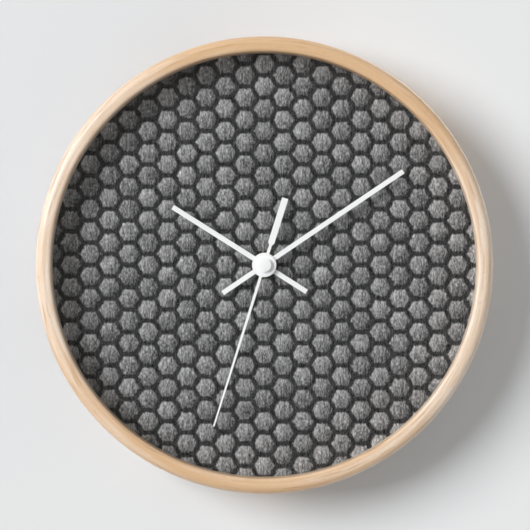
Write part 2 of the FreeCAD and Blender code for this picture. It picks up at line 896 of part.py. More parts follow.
def make_cover():
    body = new_body("movement_cover")
    face = facing(body, "case_back")
    rectangle(face, "cover_play - inner_half_width", "partition_bottom + cover_play",
              "inner_half_width - cover_play", "inner_top - cover_play")
    pad(body, face, "cover_thick")
    bosses = facing(body, "cover_front")
    axes = (("0", "0"), ("third_x", "third_z"), ("intermediate_x", "intermediate_z"), ("rotor_x", "rotor_z"))
    for x, z in axes:
        circle(bosses, "boss_radius", x, z)
    pad(body, bosses, "boss_height")
    bores = facing(body, "pivot_back - pivot_play")
    for x, z in axes:
        centre = (x, z) == ("0", "0")
        circle(bores, "second_arbor_radius + pivot_play" if centre else "pivot_radius + pivot_play", x, z)
    pocket(body, bores, "boss_front - pivot_back + pivot_play + overrun")
    shaft = facing(body, "case_back - overrun")
    circle(shaft, "shaft_radius + shaft_play", "knob_x", "knob_z")
    pocket(body, shaft, "cover_thick + 2 * overrun")


def make_plate():
    body = new_body("train_plate")
    face = facing(body, "plate_back")
    rectangle(face, "post_left - plate_margin", "post_low - plate_margin", "post_right + plate_margin",
              "post_high + plate_margin")
    for x, z in CORNERS:
        circle(face, "stake_radius", x, z)
    for x, z in (("third_x", "third_z"), ("intermediate_x", "intermediate_z"), ("rotor_x", "rotor_z")):
        circle(face, "pivot_radius + pivot_play", x, z)
    circle(face, "collar_radius + cannon_play")
    circle(face, "shaft_radius + shaft_play", "knob_x", "knob_z")
    pad(body, face, "plate_thick")


# Wheels


def pivots(back_radius="pivot_radius"):
    """The thin ends of an arbor between the cover and the plate."""
    return [bar(back_radius, "pivot_back", "boss_front + end_shake"),
            bar("pivot_radius", "plate_back - end_shake", "plate_front")]


def make_rotor():
    pinion = toothed("rotor_pinion", "rotor_module", 0, "intermediate_back - pinion_overhang",
                     "intermediate_back + wheel_thick + pinion_overhang")
    arbor = bar("rotor_arbor_radius", "boss_front + end_shake", "plate_back - end_shake")
    moulded("rotor_pinion", [pinion, arbor] + pivots(), (), "rotor_x", "rotor_z")
    ring = cylinder("magnet_disc", "magnet_radius", "magnet_back", "magnet_back + magnet_thick",
                    "rotor_x", "rotor_z")
    hole = cylinder("magnet_hole", "rotor_arbor_radius", "magnet_back - overrun",
                    "magnet_back + magnet_thick + overrun", "rotor_x", "rotor_z")
    keep(cut("rotor_magnet", ring, hole), "rotor_magnet")


def make_intermediate():
    phase = meshed("rotor_direction + 180", "rotor_pinion", "intermediate_wheel")
    wheel = toothed("intermediate_wheel", "rotor_module", phase, "intermediate_back",
                    "intermediate_back + wheel_thick")
    pinion = toothed("intermediate_pinion", "intermediate_module", 0, "second_back - wheel_gap / 2",
                     "second_back + wheel_thick + pinion_overhang")
    arbor = bar("arbor_radius", "boss_front + end_shake", "plate_back - end_shake")
    moulded("intermediate_wheel", [wheel, pinion, arbor] + pivots(), (), "intermediate_x", "intermediate_z")


def make_second_wheel():
    phase = meshed("rotor_direction + 180", "intermediate_pinion", "second_wheel")
    wheel = toothed("second_wheel", "intermediate_module", phase, "second_back", "second_back + wheel_thick")
    pinion = toothed("second_pinion", "second_module", 0, "second_back + wheel_thick",
                     "third_back + wheel_thick + pinion_overhang")
    hub = bar("boss_radius", "second_back - wheel_gap / 2", "second_back")
    bore = bar("second_arbor_radius", "second_back - overrun", "centre_back + overrun")
    moulded("second_wheel", [wheel, pinion, hub], (bore,))
    keep(cylinder("second_arbor", "second_arbor_radius", "pivot_back", "collet_tip"), "second_arbor")


def make_third():
    phase = meshed("third_direction", "second_pinion", "third_wheel")
    wheel = toothed("third_wheel", "second_module", phase, "third_back", "third_back + wheel_thick")
    pinion = toothed("third_pinion", "third_module", 0, "third_back + wheel_thick",
                     "centre_front + pinion_overhang")
    arbor = bar("arbor_radius", "boss_front + end_shake", "plate_back - end_shake")
    moulded("third_wheel", [wheel, pinion, arbor] + pivots(), (), "third_x", "third_z")


def make_centre_wheel():
    phase = meshed("third_direction + 180", "third_pinion", "centre_wheel")
    wheel = toothed("centre_wheel", "third_module", phase, "centre_back", "centre_front")
    bore = bar("cannon_radius + cannon_play", "centre_back - overrun", "centre_front + overrun")
    moulded("centre_wheel", [wheel], (bore,))


def make_cannon():
    pinion = toothed("cannon_pinion", "setting_module", 0, "plate_front + end_shake",
                     "motion_front + pinion_overhang")
    collar = bar("collar_radius", "centre_front + clutch_gap", "plate_front + end_shake")
    tube = bar("cannon_radius", "centre_back - clutch_gap - clutch_thick", "minute_hand_front")
    bore = bar("cannon_bore", "centre_back - overrun", "minute_hand_front + overrun")
    moulded("minute_tube", [tube, collar, pinion], (bore,))
    washer("clutch_spring", "cannon_radius", "clutch_radius", "centre_back - clutch_gap - clutch_thick",
           "centre_back - clutch_gap")


def make_setting():
    phase = meshed("knob_direction", "cannon_pinion", "motion_wheel")
    wheel = toothed("motion_wheel", "setting_module", phase, "motion_back", "motion_front")
    pinion = toothed("motion_pinion", "hour_module", 0, "motion_front", "hour_wheel_front")
    shaft = bar("shaft_radius", "knob_back", "motion_back")
    bore = bar("stud_radius + stud_play", "stud_back - end_shake", "hour_wheel_front + overrun")
    moulded("motion_wheel", [wheel, pinion, shaft], (bore,), "knob_x", "knob_z")
    keep(cylinder("motion_stud", "stud_radius", "stud_back", "stud_front", "knob_x", "knob_z"), "motion_stud")
    knob = new_body("setting_knob")
    face = facing(knob, "knob_back")
    circle(face, "knob_radius")
    circle(face, "shaft_radius")
    pad(knob, face, "knob_thick")
    groove = facing(knob, "knob_back - overrun")
    circle(groove, "knob_groove_radius", "0", "knob_radius")
    repeat_round(knob, pocket(knob, groove, "knob_thick + 2 * overrun"), count("knob_grooves"))
    place_on_axis(knob, "knob_x", "knob_z")


def make_hour_wheel():
    phase = meshed("knob_direction + 180", "motion_pinion", "hour_wheel")
    wheel = toothed("hour_wheel", "hour_module", phase, "hour_wheel_back", "hour_wheel_front")
    tube = bar("hour_tube_radius", "hour_wheel_back", "hour_hand_front")
    bore = bar("hour_bore", "hour_wheel_back - overrun", "hour_hand_front + overrun")
    moulded("hour_wheel", [wheel, tube], (bore,))
    washer("hour_washer", "hour_tube_radius + bush_play", "hour_washer_radius", "hour_washer_back",
           "hour_washer_back + hour_washer_thick")


# Stepping motor and circuit board


def make_stator():
    body = new_body("stator")
    face = facing(body, "stator_back")
    west, east = "stator_west", "stator_east"
    outline(
        face,
        [
            (west, "stator_low"),
            (f"{east} - stator_leg + magnet_gap", "stator_low"),
            (f"{east} - stator_leg + magnet_gap", "stator_step"),
            (east, "stator_step"),
            (east, "stator_top"),
            (f"{east} - stator_leg", "stator_top"),
            (f"{east} - stator_leg", "stator_high"),
            (f"{west} + stator_leg", "stator_high"),
            (f"{west} + stator_leg", "stator_top"),
            (west, "stator_top"),
        ],
    )
    circle(face, "stator_hole", "rotor_x", "rotor_z")
    for x, z in STATOR_POSTS:
        circle(face, "stake_radius", x, z)
    pad(body, face, "stator_thick")


def make_coil():
    core = block("coil_core", "stator_west", "stator_east", "stator_front", "stator_front + core_thick",
                 "coil_z - core_height / 2", "stator_top")
    keep(core, "coil_core")
    west, east = "coil_west", "coil_east"
    reel = fused("bobbin_reel", [
        crossbar("bobbin_sleeve", "coil_sleeve_radius", west, east, "core_depth", "coil_z"),
        crossbar("bobbin_west", "coil_flange_radius", west, f"{west} + coil_flange_thick", "core_depth",
                 "coil_z"),
        crossbar("bobbin_east", "coil_flange_radius", f"{east} - coil_flange_thick", east, "core_depth",
                 "coil_z"),
    ])
    channel = block("bobbin_channel", f"{west} - overrun", f"{east} + overrun", "stator_front",
                    "stator_front + core_thick", "coil_z - core_height / 2", "stator_top")
    keep(cut("coil_bobbin", reel, channel), "coil_bobbin")
    turns = crossbar("winding_outside", "coil_radius", f"{west} + coil_flange_thick",
                     f"{east} - coil_flange_thick", "core_depth", "coil_z")
    inside = crossbar("winding_inside", "coil_sleeve_radius", west, east, "core_depth", "coil_z")
    keep(cut("coil_winding", turns, inside), "coil_winding")


def make_circuit():
    body = new_body("circuit_board")
    face = facing(body, "circuit_back")
    rectangle(face, "circuit_west", "circuit_low", "circuit_east", "circuit_top")
    for x, z in CIRCUIT_POSTS:
        circle(face, "stake_radius", x, z)
    pad(body, face, "circuit_thick")
    chip = doc.addObject("Part::Cone", "circuit_chip")
    chip.Placement = Placement(Vector(), FORWARD)
    chip.setExpression("Radius1", bound("chip_top_radius"))
    chip.setExpression("Radius2", bound("chip_radius"))
    chip.setExpression("Height", bound("chip_thick"))
    chip.setExpression("Placement.Base.x", bound("circuit_middle"))
    chip.setExpression("Placement.Base.y", bound("-(circuit_back - chip_thick)"))
    chip.setExpression("Placement.Base.z", bound("(circuit_low + circuit_top) / 2"))
    keep(chip, "circuit_chip")
    crystal_z = "(circuit_low + circuit_top) / 2 + chip_radius + circuit_gap + crystal_radius"
    crystal = crossbar("quartz_crystal", "crystal_radius", "circuit_middle - crystal_length / 2",
                       "circuit_middle + crystal_length / 2", "circuit_back - crystal_radius", crystal_z)
    keep(crystal, "quartz_crystal")


# Battery and contacts


def make_contacts():
    front = "contact_back + contact_width"
    wall = "inner_half_width"
    right = block("positive_strip", f"{wall} - contact_thick", wall, "contact_back", front, "contact_low",
                  "circuit_low + contact_width / 2")
    dimple = crossbar("positive_dimple", "contact_dimple_radius", f"{wall} - contact_thick - dimple_reach",
                      f"{wall} - contact_thick", "battery_depth", "battery_height")
    keep(fused("contact_positive", [right, dimple]), "contact_positive")
    run_top = "partition_top + contact_thick"
    riser = "circuit_west + contact_width"
    pieces = [
        block("negative_strip", f"-{wall}", f"contact_thick - {wall}", "contact_back", front, "contact_low",
              run_top),
        block("negative_run", f"-{wall}", riser, "contact_back", front, "partition_top", run_top),
        block("negative_riser", f"{riser} - contact_thick", riser, "contact_back", "circuit_front",
              "partition_top", "circuit_low"),
        crossbar("negative_dimple", "contact_dimple_radius", f"contact_thick - {wall}",
                 f"contact_thick + dimple_reach - {wall}", "battery_depth", "battery_height"),
    ]
    keep(fused("contact_negative", pieces), "contact_negative")


def make_battery():
    half = "battery_length / 2"
    core = "battery_radius - wrap_thick"
    can = crossbar("battery_can", core, f"-{half}", f"{half} - nub_length", "battery_depth", "battery_height")
    nub = crossbar("battery_nub", "nub_radius", f"{half} - nub_length", half, "battery_depth",
                   "battery_height")
    keep(fused("battery_cell", [can, nub]), "battery_cell")
    west, east = f"wrap_margin / 2 - {half}", f"{half} - nub_length - wrap_margin / 2"
    sleeve = crossbar("wrap_outside", "battery_radius", west, east, "battery_depth", "battery_height")
    inside = crossbar("wrap_inside", core, f"-{half}", half, "battery_depth", "battery_height")
    keep(cut("battery_wrap", sleeve, inside), "battery_wrap")


# Hands


def make_hand(label, back, thick, bore, tip, tail, width, angle):
    """A straight hand with square ends and a round hub."""
    body = new_body(label)
    hub = facing(body, back)
    circle(hub, "hub_radius")
    pad(body, hub, thick)
    blade = facing(body, back)
    rectangle(blade, f"-{width} / 2", f"-{tail}", f"{width} / 2", tip)
    pad(body, blade, thick)
    hole = facing(body, f"{back} - overrun")
    circle(hole, bore)
    pocket(body, hole, f"{thick} + 2 * overrun")
    turn_clockwise(body, angle)


def make_second_hand():
    body = new_body("second_hand")
    hub = facing(body, "second_hand_back")
    circle(hub, "second_hub_radius")
    pad(body, hub, "second_hand_thick")
    blade = facing(body, "second_hand_back")
    tip, root, weight = "second_hand_tip_width / 2", "second_hand_root_width / 2", "weight_width / 2"
    outline(
        blade,
        [
            (root, "-weight_near"),
            (root, "0"),
            (tip, "second_hand_tip"),
            (f"-{tip}", "second_hand_tip"),
            (f"-{root}", "0"),
            (f"-{root}", "-weight_near"),
            (f"-{weight}", "-(weight_near + weight_chamfer)"),
            (f"-{weight}", "-weight_far"),
            (weight, "-weight_far"),
            (weight, "-(weight_near + weight_chamfer)"),
        ],
    )
    pad(body, blade, "second_hand_thick")
    hole = facing(body, "second_hand_back - overrun")
    circle(hole, "collet_radius")
    pocket(body, hole, "second_hand_thick + 2 * overrun")
    turn_clockwise(body, "second_hand_angle")
    washer("second_collet", "second_arbor_radius", "collet_radius", "collet_end", "collet_tip")


def make_cap():
    body = new_body("centre_cap")
    revolve(
        body,
        [
            ("0", "second_hand_front + cap_height"),
            ("cap_radius", "second_hand_front + cap_edge"),
            ("cap_radius", "second_hand_front"),
            ("collet_radius", "second_hand_front"),
            ("collet_radius", "collet_tip"),
            ("0", "collet_tip"),
        ],
        {0: ("0", "~cap_sphere - second_hand_front - cap_height")},
    )


def make_clock():
    """Every sub-part, from the front of the clock to its back."""
    make_rim()
    make_disc("lens", "lens_back", "lens_thick")
    make_spacer()
    make_disc("dial_print", "board_front", "print_thick", "bush_radius + bush_play")
    make_disc("dial_board", "board_back", "board_thick", "bush_radius + bush_play")
    make_points()
    make_hand("hour_hand", "hour_hand_back", "hour_hand_thick", "hour_tube_radius", "hour_hand_tip",
              "hour_hand_tail", "hour_hand_width", "hour_hand_angle")
    make_hand("minute_hand", "minute_hand_back", "minute_hand_thick", "cannon_radius", "minute_hand_tip",
              "minute_hand_tail", "minute_hand_width", "minute_hand_angle")
    make_second_hand()
    make_cap()
    make_fastening()
    make_hanger()
    make_case()
    make_cover()
    make_plate()
    make_rotor()
    make_intermediate()
    make_second_wheel()
    make_third()
    make_centre_wheel()
    make_cannon()
    make_setting()
    make_hour_wheel()
    make_stator()
    make_coil()
    make_circuit()
    make_contacts()
    make_battery()


def check_document():
    """Stop if any object failed or any sub-part has no sound solid."""
    doc.recompute()
    for item in doc.Objects:
        if "Invalid" in item.State or "Error" in item.State:
            raise ValueError(f"{item.Label} failed: {item.State}")
    for piece in nodes:
        if piece.Shape.isNull() or not piece.Shape.isValid() or len(piece.Shape.Solids) != 1:
            raise ValueError(f"{piece.Label} is not one valid solid")


def write_parts():
    """Write each sub-part to a file of its own."""
    os.makedirs("parts", exist_ok=True)
    for piece in nodes:
        piece.Shape.exportStep(os.path.join("parts", piece.Label + ".step"))


make_clock()
check_document()
write_parts()
print(f"{len(nodes)} sub-parts written")
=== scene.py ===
import json
import math

import bmesh
import bpy
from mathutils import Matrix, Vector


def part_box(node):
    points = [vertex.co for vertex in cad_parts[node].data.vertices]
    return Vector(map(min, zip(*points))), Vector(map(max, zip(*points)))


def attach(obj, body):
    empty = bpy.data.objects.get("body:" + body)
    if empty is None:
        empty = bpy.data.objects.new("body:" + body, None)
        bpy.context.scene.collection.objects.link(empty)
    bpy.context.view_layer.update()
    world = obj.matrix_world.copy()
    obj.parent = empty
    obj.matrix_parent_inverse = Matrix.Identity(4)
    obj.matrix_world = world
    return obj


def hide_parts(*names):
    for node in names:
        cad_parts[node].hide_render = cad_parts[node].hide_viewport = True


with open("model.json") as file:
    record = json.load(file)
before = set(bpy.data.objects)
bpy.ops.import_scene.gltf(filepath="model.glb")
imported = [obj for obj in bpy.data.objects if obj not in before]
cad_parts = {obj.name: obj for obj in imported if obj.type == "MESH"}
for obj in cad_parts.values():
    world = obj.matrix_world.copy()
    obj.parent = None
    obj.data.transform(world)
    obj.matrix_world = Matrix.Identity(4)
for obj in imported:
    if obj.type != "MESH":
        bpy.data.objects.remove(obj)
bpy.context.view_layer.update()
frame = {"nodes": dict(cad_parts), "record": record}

# Wall clock seen from the front. The dial faces -Y, twelve o'clock is +Z and the wall is y = 0.
# Sizes are in metres, and a depth is a distance from the wall.

MM = 0.001
DIAL_AXIS = (0, 1, 0)

# sizes shared with the solids
RIM_RADIUS = 127 * MM
RIM_DEPTH = 44 * MM
INNER_ROUND = 2.1 * MM
OUTER_ROUND = 4.6 * MM
BACK_ROUND = 2 * MM
OPENING_RADIUS = 118.2 * MM
REBATE_RADIUS = 120.6 * MM
SHOULDER = 37 * MM
CASE_HALF_WIDTH = 28 * MM
COVER_DEPTH = 3.7 * MM
KNOB_HEIGHT = 10.5 * MM

# places nearer than this count as one, and points nearer than this are joined
SAME_PLACE = 0.01 * MM
WELD = 0.002 * MM

# faces that turn less than this are one flat face
FLAT = math.radians(1)

# a face whose normal points this much along an axis faces that way
FACING = 0.9

# how deep the marks and the panel are let into the cover
TRIM_ROOT = 0.1 * MM


# Working on a piece


def clear_choice():
    """Leave edit mode and choose nothing."""
    if bpy.context.mode != "OBJECT":
        bpy.ops.object.mode_set(mode="OBJECT")
    bpy.ops.object.select_all(action="DESELECT")


def pick(piece):
    """Choose one piece alone."""
    clear_choice()
    piece.select_set(True)
    bpy.context.view_layer.objects.active = piece


def open_piece(piece):
    """Edit one piece, with nothing in it chosen."""
    pick(piece)
    bpy.ops.object.mode_set(mode="EDIT")
    bpy.ops.mesh.select_all(action="DESELECT")


def choose(piece, kind, wanted):
    """Choose the vertices, edges or faces of the open piece that a test picks."""
    bpy.ops.mesh.select_mode(type=kind)
    bpy.ops.mesh.select_all(action="DESELECT")
    mesh = bmesh.from_edit_mesh(piece.data)
    parts = {"VERT": mesh.verts, "EDGE": mesh.edges, "FACE": mesh.faces}[kind]
    for part in [part for part in parts if wanted(part)]:
        part.select_set(True)
    bmesh.update_edit_mesh(piece.data)


def named(name):
    """The primitive that was just added, with its size and place in its mesh."""
    piece = bpy.context.object
    piece.name = name
    piece.data.name = name
    bpy.ops.object.transform_apply(location=True, rotation=True, scale=True)
    return piece


def flat_start(name, inner, outer, back, front):
    """A rectangle from one radius to another and from one depth to another."""
    clear_choice()
    middle = ((inner + outer) / 2, -(back + front) / 2, 0)
    bpy.ops.mesh.primitive_plane_add(size=1, location=middle)
    bpy.context.object.scale = (outer - inner, front - back, 1)
    return named(name)


def block_start(name, low, high):
    """A block between two corners."""
    clear_choice()
    middle = [(a + b) / 2 for a, b in zip(low, high)]
    bpy.ops.mesh.primitive_cube_add(size=1, location=middle)
    bpy.context.object.scale = [b - a for a, b in zip(low, high)]
    return named(name)


def round_corners(piece, places, radius, segments):
    """Round the corners of a flat profile that lie at the given radii and depths."""
    def at_corner(vertex):
        """Whether a vertex lies at one of the places."""
        return any(math.hypot(vertex.co.x - r, vertex.co.y + d) < SAME_PLACE for r, d in places)

    choose(piece, "VERT", at_corner)
    bpy.ops.mesh.bevel(offset=radius, segments=segments, profile=0.5, affect="VERTICES")


def spin_outline(piece, steps):
    """Turn the outline of an open flat profile into a solid ring round the dial's axis."""
    bpy.ops.mesh.select_mode(type="VERT")
    bpy.ops.mesh.select_all(action="SELECT")
    bpy.ops.mesh.delete(type="ONLY_FACE")
    bpy.ops.mesh.select_all(action="SELECT")
    bpy.ops.mesh.spin(steps=steps, angle=2 * math.pi, center=(0, 0, 0), axis=DIAL_AXIS)
    bpy.ops.mesh.select_all(action="SELECT")
    bpy.ops.mesh.remove_doubles(threshold=WELD)
    bpy.ops.mesh.normals_make_consistent(inside=False)


def copy_of(node, name):
    """A merged copy of a CAD node, open for editing."""
    piece = bpy.data.objects.new(name, frame["nodes"][node].data.copy())
    piece.data.name = name
    bpy.context.scene.collection.objects.link(piece)
    pick(piece)
    bpy.ops.mesh.customdata_custom_splitnormals_clear()
    open_piece(piece)
    bpy.ops.mesh.select_all(action="SELECT")
    bpy.ops.mesh.remove_doubles(threshold=WELD)
    bpy.ops.mesh.dissolve_limited(angle_limit=FLAT)
    bpy.ops.mesh.select_all(action="DESELECT")
    return piece


def ease(piece, width, segments=2, angle=40):
    """Break all the sharp edges of a piece."""
    pick(piece)
    bevel = piece.modifiers.new("eased edges", "BEVEL")
    bevel.width = width
    bevel.segments = segments
    bevel.limit_method = "ANGLE"
    bevel.angle_limit = math.radians(angle)
    bpy.ops.object.modifier_apply(modifier=bevel.name)


def complete(piece, body, slot, replaced=(), angle=35):
    """Shade a finished piece and hand it to its body, its finish and the nodes it stands for."""
    pick(piece)
    bpy.ops.object.shade_smooth_by_angle(angle=math.radians(angle))
    weighted = piece.modifiers.new("flat faces first", "WEIGHTED_NORMAL")
    weighted.keep_sharp = True
    bpy.ops.object.modifier_apply(modifier=weighted.name)
    piece.data.materials.clear()
    piece.data.materials.append(FINISHES[slot])
    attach(piece, body)
    if replaced:
        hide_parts(*replaced)
    clear_choice()


# Nodes of a material


def add(tree, kind, **settings):
    """A new node with its settings."""
    made = tree.nodes.new(kind)
    for name, value in settings.items():
        setattr(made, name, value)
    return made


def feed(tree, socket, value):
    """Put a number, a colour or another node's output into a socket."""
    if isinstance(value, bpy.types.NodeSocket):
        tree.links.new(value, socket)
    else:
        socket.default_value = value


def calc(tree, operation, *values):
    """A sum of numbers."""
    made = add(tree, "ShaderNodeMath", operation=operation)
    for socket, value in zip(made.inputs, values):
        feed(tree, socket, value)
    return made.outputs[0]


def vector_calc(tree, operation, *values):
    """A sum of vectors."""
    made = add(tree, "ShaderNodeVectorMath", operation=operation)
    for socket, value in zip(made.inputs, values):
        feed(tree, socket, value)
    return made.outputs["Value" if operation == "LENGTH" else "Vector"]


def rescale(tree, value, low, high, new_low=0.0, new_high=1.0):
    """A value moved from one range to another and held inside it."""
    made = add(tree, "ShaderNodeMapRange")
    for socket, given in zip(made.inputs, (value, low, high, new_low, new_high)):
        feed(tree, socket, given)
    return made.outputs[0]


def blend(tree, kind, share, first, second):
    """Pass from a first to a second colour or vector as a share rises."""
    at_share, at_first, at_second, at_result = {"RGBA": (0, 6, 7, 2), "VECTOR": (0, 4, 5, 1)}[kind]
    made = add(tree, "ShaderNodeMix", data_type=kind)
    feed(tree, made.inputs[at_share], share)
    feed(tree, made.inputs[at_first], first)
    feed(tree, made.inputs[at_second], second)
    return made.outputs[at_result]


def blend_colours(tree, share, first, second):
    """Pass between two colours, each a plain red, green and blue or a node's output."""
    first, second = [(*colour, 1) if isinstance(colour, tuple) else colour for colour in (first, second)]
    return blend(tree, "RGBA", share, first, second)


def join(tree, x, y, z):
    """A vector or colour from its three parts."""
    made = add(tree, "ShaderNodeCombineXYZ")
    for socket, value in zip(made.inputs, (x, y, z)):
        feed(tree, socket, value)
    return made.outputs[0]


def split(tree, vector):
    """The three parts of a vector."""
    made = add(tree, "ShaderNodeSeparateXYZ")
    feed(tree, made.inputs[0], vector)
    return made.outputs


def place_on_piece(tree):
    """Where a point lies on its piece, in metres."""
    return add(tree, "ShaderNodeTexCoord").outputs["Object"]


def distance_from_axis(tree, x, z):
    """How far a point lies from the dial's axis."""
    return calc(tree, "SQRT", calc(tree, "ADD", calc(tree, "MULTIPLY", x, x), calc(tree, "MULTIPLY", z, z)))


def open_to(tree, rays):
    """Make a material clear for the rays that a mask picks."""
    open_air = add(tree, "ShaderNodeBsdfTransparent")
    either = add(tree, "ShaderNodeMixShader")
    feed(tree, either.inputs[0], rays)
    feed(tree, either.inputs[1], tree.nodes["Principled BSDF"].outputs[0])
    feed(tree, either.inputs[2], open_air.outputs[0])
    feed(tree, tree.nodes["Material Output"].inputs["Surface"], either.outputs[0])


def noise(tree, vector, detail=2.0, depth=None):
    """Smooth noise at a vector, or at a vector and a fourth measure."""
    made = add(tree, "ShaderNodeTexNoise", noise_dimensions="3D" if depth is None else "4D")
    feed(tree, made.inputs["Vector"], vector)
    feed(tree, made.inputs["Scale"], 1.0)
    feed(tree, made.inputs["Detail"], detail)
    if depth is not None:
        feed(tree, made.inputs["W"], depth)
    return made.outputs[0]


def new_group(name, inputs, outputs):
    """A node group with named sockets; returns it with its input and output nodes."""
    tree = bpy.data.node_groups.new(name, "ShaderNodeTree")
    kinds = {"value": "NodeSocketFloat", "vector": "NodeSocketVector"}
    for label, kind in inputs:
        tree.interface.new_socket(name=label, in_out="INPUT", socket_type=kinds[kind])
    for label, kind in outputs:
        tree.interface.new_socket(name=label, in_out="OUTPUT", socket_type=kinds[kind])
    return tree, add(tree, "NodeGroupInput").outputs, add(tree, "NodeGroupOutput").inputs


def use_group(tree, group, **values):
    """Place a group in a material with values for its inputs."""
    made = add(tree, "ShaderNodeGroup", node_tree=group)
    for label, value in values.items():
        feed(tree, made.inputs[label], value)
    return made.outputs


def new_finish(name, colour, roughness, metallic=0.0, specular=0.5, coat=0.0, coat_roughness=0.1):
    """A material with its surface shader set and the tree open for its pattern."""
    material = bpy.data.materials.new(name)
    material.use_nodes = True
    tree = material.node_tree
    surface = tree.nodes["Principled BSDF"]
    surface.inputs["Base Color"].default_value = (*colour, 1)
    surface.inputs["Roughness"].default_value = roughness
    surface.inputs["Metallic"].default_value = metallic
    surface.inputs["Specular IOR Level"].default_value = specular
    surface.inputs["Coat Weight"].default_value = coat
    surface.inputs["Coat Roughness"].default_value = coat_roughness
    return material, tree, surface.inputs


def relief(tree, surface, height, strength, distance):
    """Raise the surface by a height pattern."""
    bump = add(tree, "ShaderNodeBump")
    feed(tree, bump.inputs["Strength"], strength)
    feed(tree, bump.inputs["Distance"], distance)
    feed(tree, bump.inputs["Height"], height)
    feed(tree, surface["Normal"], bump.outputs["Normal"])


# Groups that several finishes use


def make_mottle():
    """Cloudy unevenness: a value between two limits and the cloud itself."""
    tree, given, made = new_group(
        "mottle",
        [("Stretch", "vector"), ("Detail", "value"), ("Low", "value"), ("High", "value")],
        [("Value", "value"), ("Cloud", "value")],
    )
    vector = vector_calc(tree, "MULTIPLY", place_on_piece(tree), given["Stretch"])
    cloud = rescale(tree, noise(tree, vector, given["Detail"]), low=0.3, high=0.7)
    feed(tree, made["Cloud"], cloud)
    feed(tree, made["Value"], rescale(tree, cloud, 0.0, 1.0, given["Low"], given["High"]))
    return tree


def make_ring_grain_and_light():
    """Wood fibres that run round the ring, of four kinds, and painted light and shade: which sides of the
    ring are darker, paler along the key light's line and darkest near the top.
    """
    # scale round the ring and across it, detail, a shift of its own, and the span of the noise that shows
    kinds = {
        "Fine": (8.0, 900.0, 3.0, 0.0, 0.36, 0.64),
        "Broad": (2.2, 300.0, 2.0, 17.0, 0.34, 0.66),
        "Streaks": (5.0, 620.0, 2.0, 41.0, 0.56, 0.70),
        "Pores": (45.0, 3200.0, 1.0, 73.0, 0.6, 0.72),
    }
    # painted light and shade: the line of the paler sides is turned this far from level toward the key
    # light, and the top gets this much more painted shade
    tilt = math.radians(15)
    painted_shade_above = 0.25
    tree, _, made = new_group("ring grain and painted light", [], [(name, "value") for name in (*kinds, "Painted Light And Shade")])
    x, y, z = split(tree, place_on_piece(tree))
    radius = distance_from_axis(tree, x, z)
    across = calc(tree, "DIVIDE", x, radius)
    upward = calc(tree, "DIVIDE", z, radius)
    for name, (round_steps, cross_steps, detail, shift, low, high) in kinds.items():
        vector = join(tree, calc(tree, "MULTIPLY", across, round_steps),
                      calc(tree, "MULTIPLY", upward, round_steps),
                      calc(tree, "MULTIPLY", radius, cross_steps))
        depth = calc(tree, "MULTIPLY_ADD", y, cross_steps, shift)
        feed(tree, made[name], rescale(tree, noise(tree, vector, detail, depth), low, high))
    # a share of painted light and shade: low along the key light's line, high across it, and higher at the
    # top
    upright = calc(tree, "SUBTRACT", calc(tree, "MULTIPLY", upward, upward),
                   calc(tree, "MULTIPLY", across, across))
    slanted = calc(tree, "MULTIPLY", calc(tree, "MULTIPLY", across, upward), 2.0)
    painted_light_and_shade = calc(tree, "MULTIPLY_ADD", slanted, math.sin(2 * tilt),
                  calc(tree, "MULTIPLY", upright, math.cos(2 * tilt)))
    painted_light_and_shade = calc(tree, "MULTIPLY_ADD", upward, painted_shade_above, painted_light_and_shade)
    feed(tree, made["Painted Light And Shade"], rescale(tree, painted_light_and_shade, -1.0, 1.0))
    return tree


MOTTLE = make_mottle()
RING_GRAIN_AND_LIGHT = make_ring_grain_and_light()


def mottle(tree, size, low=0.0, high=1.0, detail=2.0):
    """The mottle group for clouds of one size, or of three sizes along X, Y and Z."""
    sizes = size if isinstance(size, tuple) else (size, size, size)
    stretch = tuple(1 / (side * MM) for side in sizes)
    return use_group(tree, MOTTLE, Stretch=stretch, Detail=detail, Low=low, High=high)


# Finishes


def rim_wood():
    """Pale close-grained wood under satin lacquer, with painted light and shade: tan at the top and bottom,
    paler at the sides along the line on which the key light falls.
    """
    pale, tan = (0.87, 0.74, 0.62), (0.69, 0.455, 0.26)
    # the grain's value where a stain starts, its strongest share and its colour
    stains = {
        "Broad": (0.4, 0.38, (0.64, 0.405, 0.22)),
        "Fine": (0.0, 0.40, (0.66, 0.42, 0.235)),
        "Streaks": (0.0, 0.55, (0.46, 0.26, 0.125)),
        "Pores": (0.0, 0.3, (0.42, 0.24, 0.12)),
    }
    # how much the broad grain shifts the passage from pale to tan
    waver = 0.45
    material, tree, surface = new_finish("rim wood", (0.8, 0.62, 0.43), 0.42, specular=0.2,
                                         coat=0.45, coat_roughness=0.34)
    grain = use_group(tree, RING_GRAIN_AND_LIGHT)
    # the passage from pale to tan follows the broad grain and the painted light and shade
    side = calc(tree, "MULTIPLY_ADD", calc(tree, "SUBTRACT", grain["Broad"], 0.5), waver, grain["Painted Light And Shade"])
    colour = blend_colours(tree, rescale(tree, side, 0.05, 0.95), pale, tan)
    for kind, (start, most, stain) in stains.items():
        colour = blend_colours(tree, rescale(tree, grain[kind], start, 1.0, 0.0, most), colour, stain)
    feed(tree, surface["Base Color"], colour)
    feed(tree, surface["Roughness"], rescale(tree, grain["Fine"], 0.0, 1.0, 0.34, 0.50))
    relief(tree, surface, grain["Fine"], 0.15, 0.05 * MM)
    return material


def clear_lens():
    """Clear acrylic that reflects little and lets the lamps through to the dial."""
    material, tree, surface = new_finish("clear lens", (0.97, 0.98, 0.98), 0.02)
    surface["IOR"].default_value = 1.13
    surface["Transmission Weight"].default_value = 1.0
    feed(tree, surface["Roughness"], mottle(tree, 6.0, 0.012, 0.03)["Value"])
    rays = add(tree, "ShaderNodeLightPath").outputs
    open_to(tree, calc(tree, "MAXIMUM", rays["Is Shadow Ray"], rays["Is Diffuse Ray"]))
    return material


